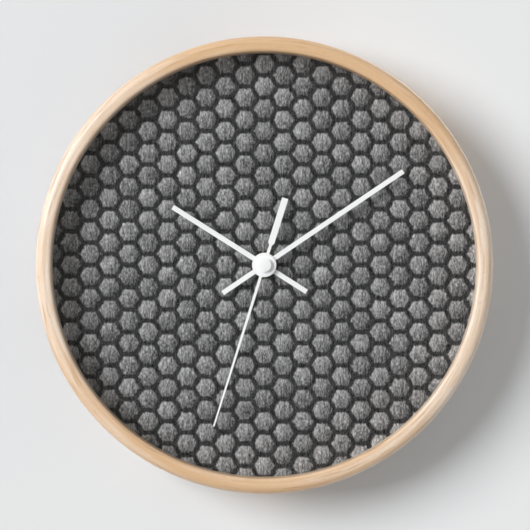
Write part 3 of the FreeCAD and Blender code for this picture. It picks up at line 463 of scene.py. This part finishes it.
def honeycomb_print():
    """A honeycomb of hatched cells, charcoal and light grey, on matte paper."""
    # from one column of cells to the next, and from cell to cell in a column, in millimetres
    column, row = 10.8, 12.47
    # how far inside its border a cell's tone starts and is full, in millimetres
    cell_starts, cell_full = 0.85, 1.75
    # tones as the eye sees them, how much the hatching and chance change them, and the power to reflectance
    cell_tone, cell_fine, cell_coarse, cell_chance = 0.43, 0.21, 0.14, 0.09
    gap_tone, gap_fine, gap_coarse = 0.19, 0.06, 0.08
    darkest, eye_power = 0.06, 2.2
    # how much lighter a cell gets with each millimetre up or to the left
    slant = 0.018
    material, tree, surface = new_finish("honeycomb print", (0.12, 0.12, 0.12), 0.75, specular=0.08)
    point = vector_calc(tree, "MULTIPLY", place_on_piece(tree), (1 / MM, 0.0, 1 / MM))
    half = (column, 0.0, row / 2)

    def lattice(offset):
        """A point seen from the nearest cell of one lattice, and how far it is."""
        moved = vector_calc(tree, "SUBTRACT", point, offset)
        wrapped = vector_calc(tree, "WRAP", moved, half, tuple(-side for side in half))
        return wrapped, vector_calc(tree, "LENGTH", wrapped)

    def hatching(width, length, shift):
        """Upright strokes of a width and a length in millimetres, from -1 to 1."""
        strokes = vector_calc(tree, "MULTIPLY_ADD", point, (1 / width, 0.0, 1 / length), (shift, 0.0, shift))
        return rescale(tree, noise(tree, strokes), 0.28, 0.72, -1.0, 1.0)

    first, first_far = lattice((0.0, 0.0, 0.0))
    second, second_far = lattice(half)
    inside = blend(tree, "VECTOR", calc(tree, "LESS_THAN", second_far, first_far), first, second)
    x, _, z = split(tree, inside)
    flat_side = calc(tree, "ABSOLUTE", z)
    slant_side = calc(tree, "MULTIPLY_ADD", calc(tree, "ABSOLUTE", x), math.sqrt(3) / 2,
                      calc(tree, "MULTIPLY", flat_side, 0.5))
    border = calc(tree, "SUBTRACT", row / 2, calc(tree, "MAXIMUM", flat_side, slant_side))
    wobble = calc(tree, "MULTIPLY", hatching(1.6, 2.6, 9.0), 0.5)
    body = rescale(tree, calc(tree, "ADD", border, wobble), cell_starts, cell_full)

    chance = add(tree, "ShaderNodeTexWhiteNoise", noise_dimensions="3D")
    cell = vector_calc(tree, "ADD", vector_calc(tree, "SUBTRACT", point, inside), (2, 2, 2))
    feed(tree, chance.inputs["Vector"], vector_calc(tree, "SNAP", cell, (1.0, 1.0, 1.0)))
    slope = calc(tree, "ADD", calc(tree, "MULTIPLY", x, -slant), calc(tree, "MULTIPLY", z, slant))
    fine, coarse = hatching(0.62, 1.7, 0.0), hatching(1.5, 6.0, 31.0)
    light = calc(tree, "MULTIPLY_ADD", coarse, cell_coarse,
                 calc(tree, "MULTIPLY_ADD", fine, cell_fine, cell_tone))
    light = calc(tree, "MULTIPLY_ADD", chance.outputs["Value"], cell_chance, calc(tree, "ADD", light, slope))
    dark = calc(tree, "MULTIPLY_ADD", coarse, gap_coarse,
                calc(tree, "MULTIPLY_ADD", fine, gap_fine, gap_tone))
    tone = rescale(tree, body, 0.0, 1.0, dark, light)
    ink = calc(tree, "POWER", calc(tree, "MAXIMUM", tone, darkest), eye_power)
    feed(tree, surface["Base Color"], join(tree, ink, calc(tree, "MULTIPLY", ink, 0.99), ink))
    feed(tree, surface["Roughness"], mottle(tree, 1.2, 0.68, 0.8)["Value"])
    relief(tree, surface, mottle(tree, 0.4)["Cloud"], 0.05, 0.03 * MM)
    return material


def hardboard():
    """Pressed brown fibre board with the mesh print of its back."""
    dark, light, stain = (0.235, 0.125, 0.062), (0.40, 0.245, 0.135), (0.27, 0.16, 0.085)
    wire_pitch, wire_share = 1.6 * MM, 0.25
    material, tree, surface = new_finish("hardboard", (0.30, 0.17, 0.09), 0.8, specular=0.25)
    fibres = mottle(tree, (2.2, 2.2, 0.7), detail=5.0)["Cloud"]
    patches = mottle(tree, 18.0, detail=3.0)["Cloud"]
    colour = blend_colours(tree, fibres, dark, light)
    colour = blend_colours(tree, calc(tree, "MULTIPLY", patches, 0.35), colour, stain)
    feed(tree, surface["Base Color"], colour)
    feed(tree, surface["Roughness"], rescale(tree, fibres, 0.0, 1.0, 0.72, 0.9))
    x, _, z = split(tree, place_on_piece(tree))
    wires = [calc(tree, "SINE", calc(tree, "MULTIPLY", way, 2 * math.pi / wire_pitch)) for way in (x, z)]
    mesh_print = calc(tree, "MULTIPLY_ADD", calc(tree, "ADD", *wires), wire_share, fibres)
    relief(tree, surface, mesh_print, 0.55, 0.12 * MM)
    return material


def white_paint():
    """White satin paint on thin stamped metal."""
    dull, bright = (0.89, 0.89, 0.89), (0.915, 0.913, 0.91)
    material, tree, surface = new_finish("white paint", (0.90, 0.90, 0.90), 0.38, specular=0.4)
    clouds = mottle(tree, 9.0, 0.33, 0.43)
    feed(tree, surface["Base Color"], blend_colours(tree, clouds["Cloud"], dull, bright))
    feed(tree, surface["Roughness"], clouds["Value"])
    relief(tree, surface, mottle(tree, 0.5)["Cloud"], 0.06, 0.02 * MM)
    return material


def plated(name, bright, dull, grain, roughness, drawn=(1.0, 1.0, 1.0), strength=0.15):
    """Plated or plain metal with uneven brightness and fine drawing lines."""
    line_size = 0.35
    material, tree, surface = new_finish(name, bright, roughness, metallic=1.0)
    clouds = mottle(tree, grain, roughness - 0.07, roughness + 0.08)
    feed(tree, surface["Base Color"], blend_colours(tree, clouds["Cloud"], dull, bright))
    feed(tree, surface["Roughness"], clouds["Value"])
    lines = mottle(tree, tuple(side * line_size for side in drawn), detail=3.0)["Cloud"]
    relief(tree, surface, lines, strength, 0.02 * MM)
    return material


def moulded(name, colour, roughness, texture, strength=0.25, specular=0.5):
    """Moulded plastic or rubber with a fine eroded skin."""
    lift, haze = 1.18, 0.004
    material, tree, surface = new_finish(name, colour, roughness, specular=specular)
    clouds = mottle(tree, 7.0, roughness - 0.06, roughness + 0.07)
    lighter = tuple(min(part * lift + haze, 1) for part in colour)
    feed(tree, surface["Base Color"], blend_colours(tree, clouds["Cloud"], colour, lighter))
    feed(tree, surface["Roughness"], clouds["Value"])
    relief(tree, surface, mottle(tree, texture)["Cloud"], strength, 0.03 * MM)
    return material


def copper_winding():
    """Enamelled wire wound close, turn beside turn, with painted shade on the sides of each turn and in the
    grooves between them.
    """
    wire_pitch = 0.22 * MM
    groove_shade, crest, dull = (0.26, 0.09, 0.03), (0.70, 0.33, 0.15), (0.5, 0.2, 0.08)
    material, tree, surface = new_finish("copper winding", (0.62, 0.28, 0.12), 0.32, metallic=1.0, coat=0.3)
    x, _, _ = split(tree, place_on_piece(tree))
    turns = calc(tree, "ABSOLUTE", calc(tree, "SINE", calc(tree, "MULTIPLY", x, math.pi / wire_pitch)))
    uneven = calc(tree, "MULTIPLY", mottle(tree, (1.5, 6.0, 6.0))["Cloud"], 0.3)
    # painted shade: dark in the grooves between turns, rising to the lighter crests
    colour = blend_colours(tree, uneven, blend_colours(tree, turns, groove_shade, crest), dull)
    feed(tree, surface["Base Color"], colour)
    relief(tree, surface, turns, 0.8, 0.05 * MM)
    return material


def circuit_green():
    """Green laminate with copper tracks under the lacquer."""
    # from track to track, measured along the board's edge
    track_pitch = 3.2 * MM
    bare, track = (0.03, 0.15, 0.07), (0.07, 0.26, 0.10)
    material, tree, surface = new_finish("circuit green", (0.03, 0.16, 0.07), 0.35, coat=0.3)
    x, _, z = split(tree, place_on_piece(tree))
    tracks = calc(tree, "SINE", calc(tree, "MULTIPLY", calc(tree, "ADD", x, z), 2 * math.pi / track_pitch))
    colour = blend_colours(tree, rescale(tree, tracks, 0.55, 0.7), bare, track)
    feed(tree, surface["Base Color"], colour)
    feed(tree, surface["Roughness"], mottle(tree, 2.0, 0.3, 0.42)["Value"])
    relief(tree, surface, tracks, 0.2, 0.03 * MM)
    return material


def battery_sleeve():
    """Printed film without lettering: graphite, with a pale band at the positive end and a line by it."""
    band_start, band_full = 10.9 * MM, 11.1 * MM
    line_place, line_half_width = 9.6 * MM, 0.4 * MM
    graphite, sheen = (0.050, 0.056, 0.068), (0.066, 0.074, 0.090)
    grey, silver = (0.50, 0.52, 0.54), (0.56, 0.575, 0.59)
    material, tree, surface = new_finish("battery sleeve", (0.07, 0.08, 0.10), 0.28, coat=0.25,
                                         coat_roughness=0.12)
    x, _, _ = split(tree, place_on_piece(tree))
    band = rescale(tree, x, band_start, band_full)
    line = calc(tree, "COMPARE", x, line_place, line_half_width)
    shade = mottle(tree, (5.0, 2.0, 2.0))["Cloud"]
    dark, pale = blend_colours(tree, shade, graphite, sheen), blend_colours(tree, shade, grey, silver)
    feed(tree, surface["Base Color"], blend_colours(tree, calc(tree, "MAXIMUM", band, line), dark, pale))
    feed(tree, surface["Roughness"], mottle(tree, 3.0, 0.24, 0.34)["Value"])
    relief(tree, surface, mottle(tree, (9.0, 1.4, 1.4))["Cloud"], 0.08, 0.03 * MM)
    return material


def make_finishes():
    """The finish of every material slot."""
    return {
        "rim_wood": rim_wood(),
        "lens_clear": clear_lens(),
        "dial_paper": honeycomb_print(),
        "board_wood": hardboard(),
        "hand_white": white_paint(),
        "zinc_steel": plated("zinc steel", (0.66, 0.67, 0.68), (0.50, 0.51, 0.53), 3.5, 0.36, (1, 1, 8)),
        "movement_black": moulded("black moulding", (0.022, 0.022, 0.024), 0.48, 0.35),
        "knob_black": moulded("satin black knob", (0.030, 0.030, 0.032), 0.34, 0.5, 0.12),
        "gear_plastic": moulded("natural wheels", (0.78, 0.75, 0.66), 0.4, 0.6, 0.1),
        "bush_brass": plated("turned brass", (0.80, 0.62, 0.30), (0.66, 0.48, 0.21), 2.5, 0.26, (2, 0.4, 2)),
        "rubber_black": moulded("washer rubber", (0.028, 0.028, 0.028), 0.8, 0.8, 0.3, 0.2),
        "contact_steel": plated("nickel spring steel", (0.74, 0.74, 0.73), (0.62, 0.61, 0.60), 2.0, 0.22,
                                (8, 1, 1)),
        "copper_wire": copper_winding(),
        "magnet_ferrite": moulded("sintered ferrite", (0.075, 0.07, 0.07), 0.62, 0.3, 0.4, 0.3),
        "core_iron": plated("soft iron", (0.46, 0.46, 0.47), (0.34, 0.34, 0.35), 1.5, 0.4, (6, 1, 1)),
        "board_green": circuit_green(),
        "chip_black": moulded("black epoxy", (0.012, 0.012, 0.012), 0.3, 1.2, 0.25),
        "battery_steel": plated("nickel plated can", (0.72, 0.72, 0.72), (0.6, 0.6, 0.6), 2.5, 0.2,
                                (1, 6, 6), 0.08),
        "battery_sleeve": battery_sleeve(),
    }


FINISHES = make_finishes()


# Front of the clock


def turn_rim():
    """The wooden ring: nose rounded wide outside and tight inside, lip, rebate and an eased back."""
    eased, steps = 0.5 * MM, 256
    rim = flat_start("turned_rim", REBATE_RADIUS, RIM_RADIUS, 0.0, SHOULDER)
    open_piece(rim)
    choose(rim, "EDGE", lambda edge: all(abs(v.co.y + SHOULDER) < SAME_PLACE for v in edge.verts))
    bpy.ops.mesh.extrude_region_move(TRANSFORM_OT_translate={"value": (0, SHOULDER - RIM_DEPTH, 0)})
    choose(rim, "EDGE", lambda edge: all(abs(v.co.x - REBATE_RADIUS) < SAME_PLACE
                                         and v.co.y < SAME_PLACE - SHOULDER for v in edge.verts))
    lip = OPENING_RADIUS - REBATE_RADIUS
    bpy.ops.mesh.extrude_region_move(TRANSFORM_OT_translate={"value": (lip, 0, 0)})
    bpy.ops.mesh.select_all(action="SELECT")
    bpy.ops.mesh.dissolve_limited(angle_limit=FLAT)
    round_corners(rim, [(OPENING_RADIUS, RIM_DEPTH)], INNER_ROUND, 12)
    round_corners(rim, [(RIM_RADIUS, RIM_DEPTH)], OUTER_ROUND, 24)
    round_corners(rim, [(RIM_RADIUS, 0.0)], BACK_ROUND, 8)
    round_corners(rim, [(REBATE_RADIUS, 0.0), (OPENING_RADIUS, SHOULDER)], eased, 4)
    spin_outline(rim, steps)
    complete(rim, "clock", "rim_wood", ["wooden_rim"])


def shape_hands():
    """Stamped hands with softened edges."""
    for node, name, body, width in (
        ("hour_hand", "stamped_hour_hand", "hours", 0.1 * MM),
        ("minute_hand", "stamped_minute_hand", "minutes", 0.1 * MM),
        ("second_hand", "stamped_second_hand", "seconds", 0.08 * MM),
    ):
        hand = copy_of(node, name)
        ease(hand, width)
        complete(hand, body, "hand_white", [node])


def press_dome():
    """The low domed cap over the hands, with an upright side."""
    side, eased = 2.25 * MM, 0.3 * MM
    low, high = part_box("centre_cap")
    radius, back, front = high.x, -high.y, -low.y
    rise = front - back - side
    sphere = (radius ** 2 + rise ** 2) / (2 * rise)
    clear_choice()
    bpy.ops.mesh.primitive_uv_sphere_add(segments=96, ring_count=96, radius=sphere,
                                         location=(0, sphere - front, 0), rotation=(math.pi / 2, 0, 0))
    dome = named("domed_cap")
    open_piece(dome)
    bpy.ops.mesh.select_all(action="SELECT")
    bpy.ops.mesh.bisect(plane_co=(0, -(back + side), 0), plane_no=(0, 1, 0), clear_outer=True)
    choose(dome, "EDGE", lambda line: line.is_boundary)
    bpy.ops.mesh.extrude_region_move(TRANSFORM_OT_translate={"value": (0, side, 0)})
    bpy.ops.mesh.edge_face_add()
    bpy.ops.mesh.select_all(action="SELECT")
    bpy.ops.mesh.normals_make_consistent(inside=False)
    choose(dome, "EDGE", lambda line: all(abs(v.co.y + back + side) < WELD for v in line.verts))
    bpy.ops.mesh.bevel(offset=eased, segments=4, affect="EDGES")
    complete(dome, "seconds", "hand_white", ["centre_cap"], angle=40)


# Back of the clock


def fold_hanger():
    """The plated hanger with its edges broken."""
    hanger = copy_of("hanger_bracket", "plated_hanger")
    ease(hanger, 0.15 * MM)
    complete(hanger, "clock", "zinc_steel", ["hanger_bracket"])


def cut_points():
    """Thin steel points that hold the board."""
    for place in range(1, 9):
        point = copy_of(f"board_point_{place}", f"cut_point_{place}")
        ease(point, 0.12 * MM)
        complete(point, "clock", "zinc_steel", [f"board_point_{place}"])


def mould_case():
    """The movement's case and its flush cover, with their outer edges broken."""
    # the front's edges nearer to the middle than this stay sharp
    near_bush = 15 * MM
    case = copy_of("movement_case", "moulded_case")
    low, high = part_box("movement_case")
    choose(case, "EDGE", lambda edge: all(abs(v.co.y - high.y) < SAME_PLACE for v in edge.verts)
           or all(abs(v.co.y - low.y) < SAME_PLACE and abs(v.co.x) > near_bush for v in edge.verts))
    bpy.ops.mesh.bevel(offset=0.3 * MM, segments=3, affect="EDGES", clamp_overlap=True)
    complete(case, "clock", "movement_black", ["movement_case"])
    cover = copy_of("movement_cover", "moulded_cover")
    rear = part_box("movement_cover")[1].y
    choose(cover, "EDGE", lambda edge: all(abs(v.co.y - rear) < SAME_PLACE for v in edge.verts))
    bpy.ops.mesh.bevel(offset=0.2 * MM, segments=2, affect="EDGES", clamp_overlap=True)
    complete(cover, "clock", "movement_black", ["movement_cover"])


def turn_ring(name, inner, outer, back, front, eased, body, slot):
    """A ring round the setting knob's axis, with its corners to the wall rounded."""
    ring = flat_start(name, inner, outer, back, front)
    open_piece(ring)
    round_corners(ring, [(inner, back), (outer, back)], eased, 4)
    spin_outline(ring, 96)
    bpy.ops.transform.translate(value=(0, 0, KNOB_HEIGHT))
    complete(ring, body, slot)


def raise_collar():
    """The raised collar round the setting knob."""
    rise, root = 0.55 * MM, 0.2 * MM
    turn_ring("knob_collar", 6.5 * MM, 7.7 * MM, COVER_DEPTH - rise, COVER_DEPTH + root, 0.25 * MM,
              "clock", "movement_black")


def knurl_knob():
    """The setting knob with softened flutes and a turned crown on its face."""
    rise, root = 0.25 * MM, 0.15 * MM
    knob = copy_of("setting_knob", "fluted_knob")
    ease(knob, 0.12 * MM, angle=50)
    complete(knob, "setting", "knob_black", ["setting_knob"])
    face = -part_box("setting_knob")[1].y
    turn_ring("knob_crown", 2.1 * MM, 3.5 * MM, face - rise, face + root, 0.15 * MM, "setting", "knob_black")


def fill_battery():
    """The cell with its crimped end and its nub, in a sleeve with rolled ends."""
    nub, nub_radius = 1.0 * MM, 2.75 * MM
    crimp_edge, crimp_slope, crimp_depth = 0.8 * MM, 0.5 * MM, 0.35 * MM
    base_edge, base_slope, base_depth = 1.4 * MM, 0.3 * MM, 0.2 * MM
    low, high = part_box("battery_cell")
    wrap_low, wrap_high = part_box("battery_wrap")
    y, z = (low.y + high.y) / 2, (low.z + high.z) / 2
    radius, outer = (high.z - low.z) / 2, (wrap_high.z - wrap_low.z) / 2

    def round_bar(name, west, east, around, vertices):
        """A bar along the cell's axis, open for editing."""
        clear_choice()
        bpy.ops.mesh.primitive_cylinder_add(vertices=vertices, radius=around, depth=east - west,
                                            location=((west + east) / 2, y, z),
                                            rotation=(0, math.pi / 2, 0))
        bar = named(name)
        open_piece(bar)
        return bar

    can = round_bar("crimped_can", low.x, high.x - nub, radius, 64)
    choose(can, "FACE", lambda face: face.normal.x > FACING)
    bpy.ops.mesh.inset(thickness=crimp_edge)
    bpy.ops.mesh.inset(thickness=crimp_slope, depth=-crimp_depth)
    bpy.ops.mesh.inset(thickness=radius - crimp_edge - crimp_slope - nub_radius)
    bpy.ops.mesh.extrude_region_move(TRANSFORM_OT_translate={"value": (nub + crimp_depth, 0, 0)})
    choose(can, "FACE", lambda face: face.normal.x < -FACING)
    bpy.ops.mesh.inset(thickness=base_edge)
    bpy.ops.mesh.inset(thickness=base_slope, depth=-base_depth)
    ease(can, 0.3 * MM, segments=3, angle=50)
    complete(can, "battery", "battery_steel", ["battery_cell"])

    def at_outer_end(vertex):
        """Whether a vertex lies on the outer edge of one of the sleeve's ends."""
        at_end = min(abs(vertex.co.x - wrap_low.x), abs(vertex.co.x - wrap_high.x)) < SAME_PLACE
        return at_end and math.hypot(vertex.co.y - y, vertex.co.z - z) > outer - 2 * SAME_PLACE

    sleeve = round_bar("film_sleeve", wrap_low.x, wrap_high.x, outer, 96)
    choose(sleeve, "FACE", lambda face: abs(face.normal.x) > FACING)
    bpy.ops.mesh.inset(thickness=outer - radius)
    bpy.ops.mesh.bridge_edge_loops()
    choose(sleeve, "EDGE", lambda edge: all(at_outer_end(v) for v in edge.verts))
    bpy.ops.mesh.bevel(offset=0.12 * MM, segments=2, affect="EDGES")
    complete(sleeve, "battery", "battery_sleeve", ["battery_wrap"])


def stand_marks():
    """Raised plus and minus beside the cell's ends, on the cover above it."""
    side, reach, rise = 0.7 * MM, 0.9 * MM, 0.35 * MM
    height, from_middle = -8.2 * MM, 21.5 * MM
    for name, across, arms in (("plus_mark", from_middle, ("x", "z")), ("minus_mark", -from_middle, ("x",))):
        mark = block_start(name, (across - side / 2, -(COVER_DEPTH + TRIM_ROOT), height - side / 2),
                           (across + side / 2, -(COVER_DEPTH - rise), height + side / 2))
        open_piece(mark)
        for arm in arms:
            for way in (1, -1):
                choose(mark, "FACE", lambda face: getattr(face.normal, arm) * way > FACING)
                shift = (way * reach, 0, 0) if arm == "x" else (0, 0, way * reach)
                bpy.ops.mesh.extrude_region_move(TRANSFORM_OT_translate={"value": shift})
        ease(mark, 0.1 * MM)
        complete(mark, "clock", "movement_black")


def frame_panel():
    """A low raised border round the blank panel of the cover."""
    half_width, bottom, top, rise = 17 * MM, -10.2 * MM, -1.2 * MM, 0.3 * MM
    corner, border, slope, sunk = 1.2 * MM, 0.6 * MM, 0.1 * MM, 0.2 * MM
    panel = block_start("blank_panel", (-half_width, -(COVER_DEPTH + TRIM_ROOT), bottom),
                        (half_width, -(COVER_DEPTH - rise), top))
    open_piece(panel)
    choose(panel, "EDGE", lambda edge: abs(edge.verts[0].co.y - edge.verts[1].co.y) > SAME_PLACE)
    bpy.ops.mesh.bevel(offset=corner, segments=5, affect="EDGES")
    choose(panel, "FACE", lambda face: face.normal.y > FACING)
    bpy.ops.mesh.inset(thickness=border)
    bpy.ops.mesh.inset(thickness=slope, depth=-sunk)
    ease(panel, 0.06 * MM)
    complete(panel, "clock", "movement_black")


def set_hooks():
    """Wedge-shaped hooks that stand out of the case's sides."""
    half_height, half_thick, slant = 2.2 * MM, 0.6 * MM, 0.5 * MM
    front, back = 8.4 * MM, 5.2 * MM
    places = [(way, height) for way in (-1, 1) for height in (17 * MM, -4 * MM)]
    for count, (way, height) in enumerate(places, start=1):
        across = way * CASE_HALF_WIDTH
        hook = block_start(f"snap_hook_{count}", (across - half_thick, -front, height - half_height),
                           (across + half_thick, -back, height + half_height))
        open_piece(hook)
        choose(hook, "EDGE", lambda edge: all(v.co.x * way > CASE_HALF_WIDTH + SAME_PLACE
                                              and abs(v.co.y + back) < SAME_PLACE for v in edge.verts))
        bpy.ops.transform.translate(value=(-way * slant, 0, 0))
        ease(hook, 0.12 * MM)
        complete(hook, "clock", "movement_black")


def dress_nodes():
    """Give the solids that stay their finishes."""
    slots = {part["node"]: part["material_slot"] for part in frame["record"]["subparts"]}
    for node, solid in frame["nodes"].items():
        if not solid.data.materials:
            solid.data.materials.append(None)
        for place in range(len(solid.data.materials)):
            solid.data.materials[place] = FINISHES[slots[node]]


# Wall, light and camera


def paint_wall():
    """A pale wall that shows only its front and lets the lamps through.

    Its paint holds painted shade where the rim glows on it, painted light beside the shadow, and near the
    rim a cooler tint painted against the wood's warm bounce light.
    """
    behind, width = 0.3 * MM, 6
    # plain paint; near the rim a cooler tint painted against the wood's warm bounce light; painted shade
    # where the rim glows; painted light beside the shadow
    plain, cool_shade_near_rim, glow_cancelling_shade, shadow_flank_light = ((0.795, 0.802, 0.802), (0.770, 0.804, 0.840),
                                                  (0.635, 0.668, 0.710), (0.96, 0.96, 0.96))
    # how far from the rim each change falls to a half
    fading_half, flank_half = 26 * MM, 8 * MM
    # the ways across and up in which the rim glows on the wall and in which its shadow falls
    glow_way, shadow_way = (-0.88, 0.48), (0.92, -0.38)
    # how much toward the glow's way a point lies where the glow starts and where it is full
    glow_starts, glow_full = 0.1, 0.75
    # how much toward the shadow's way its flanks lie, and how far the lift reaches to both sides of that
    flank_place, flank_reach = 0.4, 0.35
    clear_choice()
    bpy.ops.mesh.primitive_plane_add(size=width, location=(0, behind, 0), rotation=(math.pi / 2, 0, 0))
    wall = named("wall")
    material, tree, surface = new_finish("wall paint", plain, 0.9, specular=0.0)
    x, _, z = split(tree, place_on_piece(tree))
    radius = distance_from_axis(tree, x, z)
    beyond = calc(tree, "MAXIMUM", calc(tree, "SUBTRACT", radius, RIM_RADIUS), 0.0)

    def toward(way):
        """How much a point lies in a direction from the dial's axis, from about -1 to 1."""
        along = calc(tree, "ADD", calc(tree, "MULTIPLY", x, way[0]), calc(tree, "MULTIPLY", z, way[1]))
        return calc(tree, "DIVIDE", along, radius)

    def falling(half):
        """A share that is 1 at the rim and halves again and again beyond it."""
        return calc(tree, "POWER", 0.5, calc(tree, "DIVIDE", beyond, half))

    fading = falling(fading_half)
    # painted shade that cancels the light the rim throws on the wall on its lit side
    glow = calc(tree, "MULTIPLY", fading, rescale(tree, toward(glow_way), glow_starts, glow_full))
    off_flank = calc(tree, "ABSOLUTE", calc(tree, "SUBTRACT", toward(shadow_way), flank_place))
    # painted light on the flanks of the rim's shadow
    flank = calc(tree, "MULTIPLY", falling(flank_half),
                 rescale(tree, off_flank, 0.0, flank_reach, 1.0, 0.0))
    # a cooler tint near the rim, painted against the warm light that the wood throws on the wall
    paint = blend_colours(tree, fading, plain, cool_shade_near_rim)
    paint = blend_colours(tree, flank, paint, shadow_flank_light)
    feed(tree, surface["Base Color"], blend_colours(tree, glow, paint, glow_cancelling_shade))
    rays = add(tree, "ShaderNodeLightPath").outputs
    side = add(tree, "ShaderNodeNewGeometry").outputs["Backfacing"]
    open_to(tree, calc(tree, "MAXIMUM", side, rays["Is Shadow Ray"]))
    wall.data.materials.append(material)


def aim(light):
    """Turn a lamp to shine at the middle of the clock's back."""
    light.rotation_euler = (-light.location).to_track_quat("-Z", "Y").to_euler()


def hang_lamp(name, place, size, power):
    """A square soft lamp that shines at the clock."""
    data = bpy.data.lights.new(name, "AREA")
    data.size = size
    data.energy = power
    lamp = bpy.data.objects.new(name, data)
    bpy.context.scene.collection.objects.link(lamp)
    lamp.location = place
    aim(lamp)
    lamp.visible_camera = False
    return lamp


def light_studio():
    """A key from the upper left, a box at the far left, a fill from behind and pale air, dimmer below."""
    sun = bpy.data.lights.new("key", "SUN")
    sun.energy = 2.72
    sun.angle = 0.55
    key = bpy.data.objects.new("key", sun)
    bpy.context.scene.collection.objects.link(key)
    key.location = (-0.93, -1.0, 0.37)
    aim(key)
    hang_lamp("left_box", (-1.6, -0.5, 0.3), 1.0, 2.5).visible_diffuse = False
    hang_lamp("rear_fill", (0.6, 1.5, 0.7), 1.0, 16)
    light_air()


def light_air():
    """The world's light, and the pale level at which the camera, the lens and glossy faces see it."""
    from_below, from_above = 0.29, 0.415
    seen_level, mirrored_level = 0.8, 1.2
    world = bpy.data.worlds.new("air")
    bpy.context.scene.world = world
    world.use_nodes = True
    tree = world.node_tree
    rays = add(tree, "ShaderNodeLightPath").outputs
    height = split(tree, add(tree, "ShaderNodeTexCoord").outputs["Generated"])[2]
    level = rescale(tree, height, -1.0, 0.0, from_below, from_above)
    seen = calc(tree, "MAXIMUM", rays["Is Camera Ray"], rays["Is Transmission Ray"])
    level = calc(tree, "MAXIMUM", level, calc(tree, "MULTIPLY", seen, seen_level))
    level = calc(tree, "MAXIMUM", level, calc(tree, "MULTIPLY", rays["Is Glossy Ray"], mirrored_level))
    air = tree.nodes["Background"]
    air.inputs["Color"].default_value = (0.99, 1.0, 1.0, 1)
    feed(tree, air.inputs["Strength"], level)


def set_camera():
    """A long lens nearly straight in front of the dial."""
    distance, to_right, above = 2.5, 0.4 * MM, 0.0
    data = bpy.data.cameras.new("camera")
    data.lens = 301
    data.sensor_width = 36
    data.clip_end = 20
    camera = bpy.data.objects.new("camera", data)
    bpy.context.scene.collection.objects.link(camera)
    camera.location = (to_right, -distance, above)
    camera.rotation_euler = (math.pi / 2, 0, 0)
    bpy.context.scene.camera = camera


def build_clock():
    """All the dressed pieces, from the front to the back, and then the solids that stay."""
    turn_rim()
    shape_hands()
    press_dome()
    fold_hanger()
    cut_points()
    mould_case()
    raise_collar()
    knurl_knob()
    fill_battery()
    stand_marks()
    frame_panel()
    set_hooks()
    dress_nodes()


build_clock()
paint_wall()
light_studio()
set_camera()
bpy.context.scene.view_settings.view_transform = "Standard"
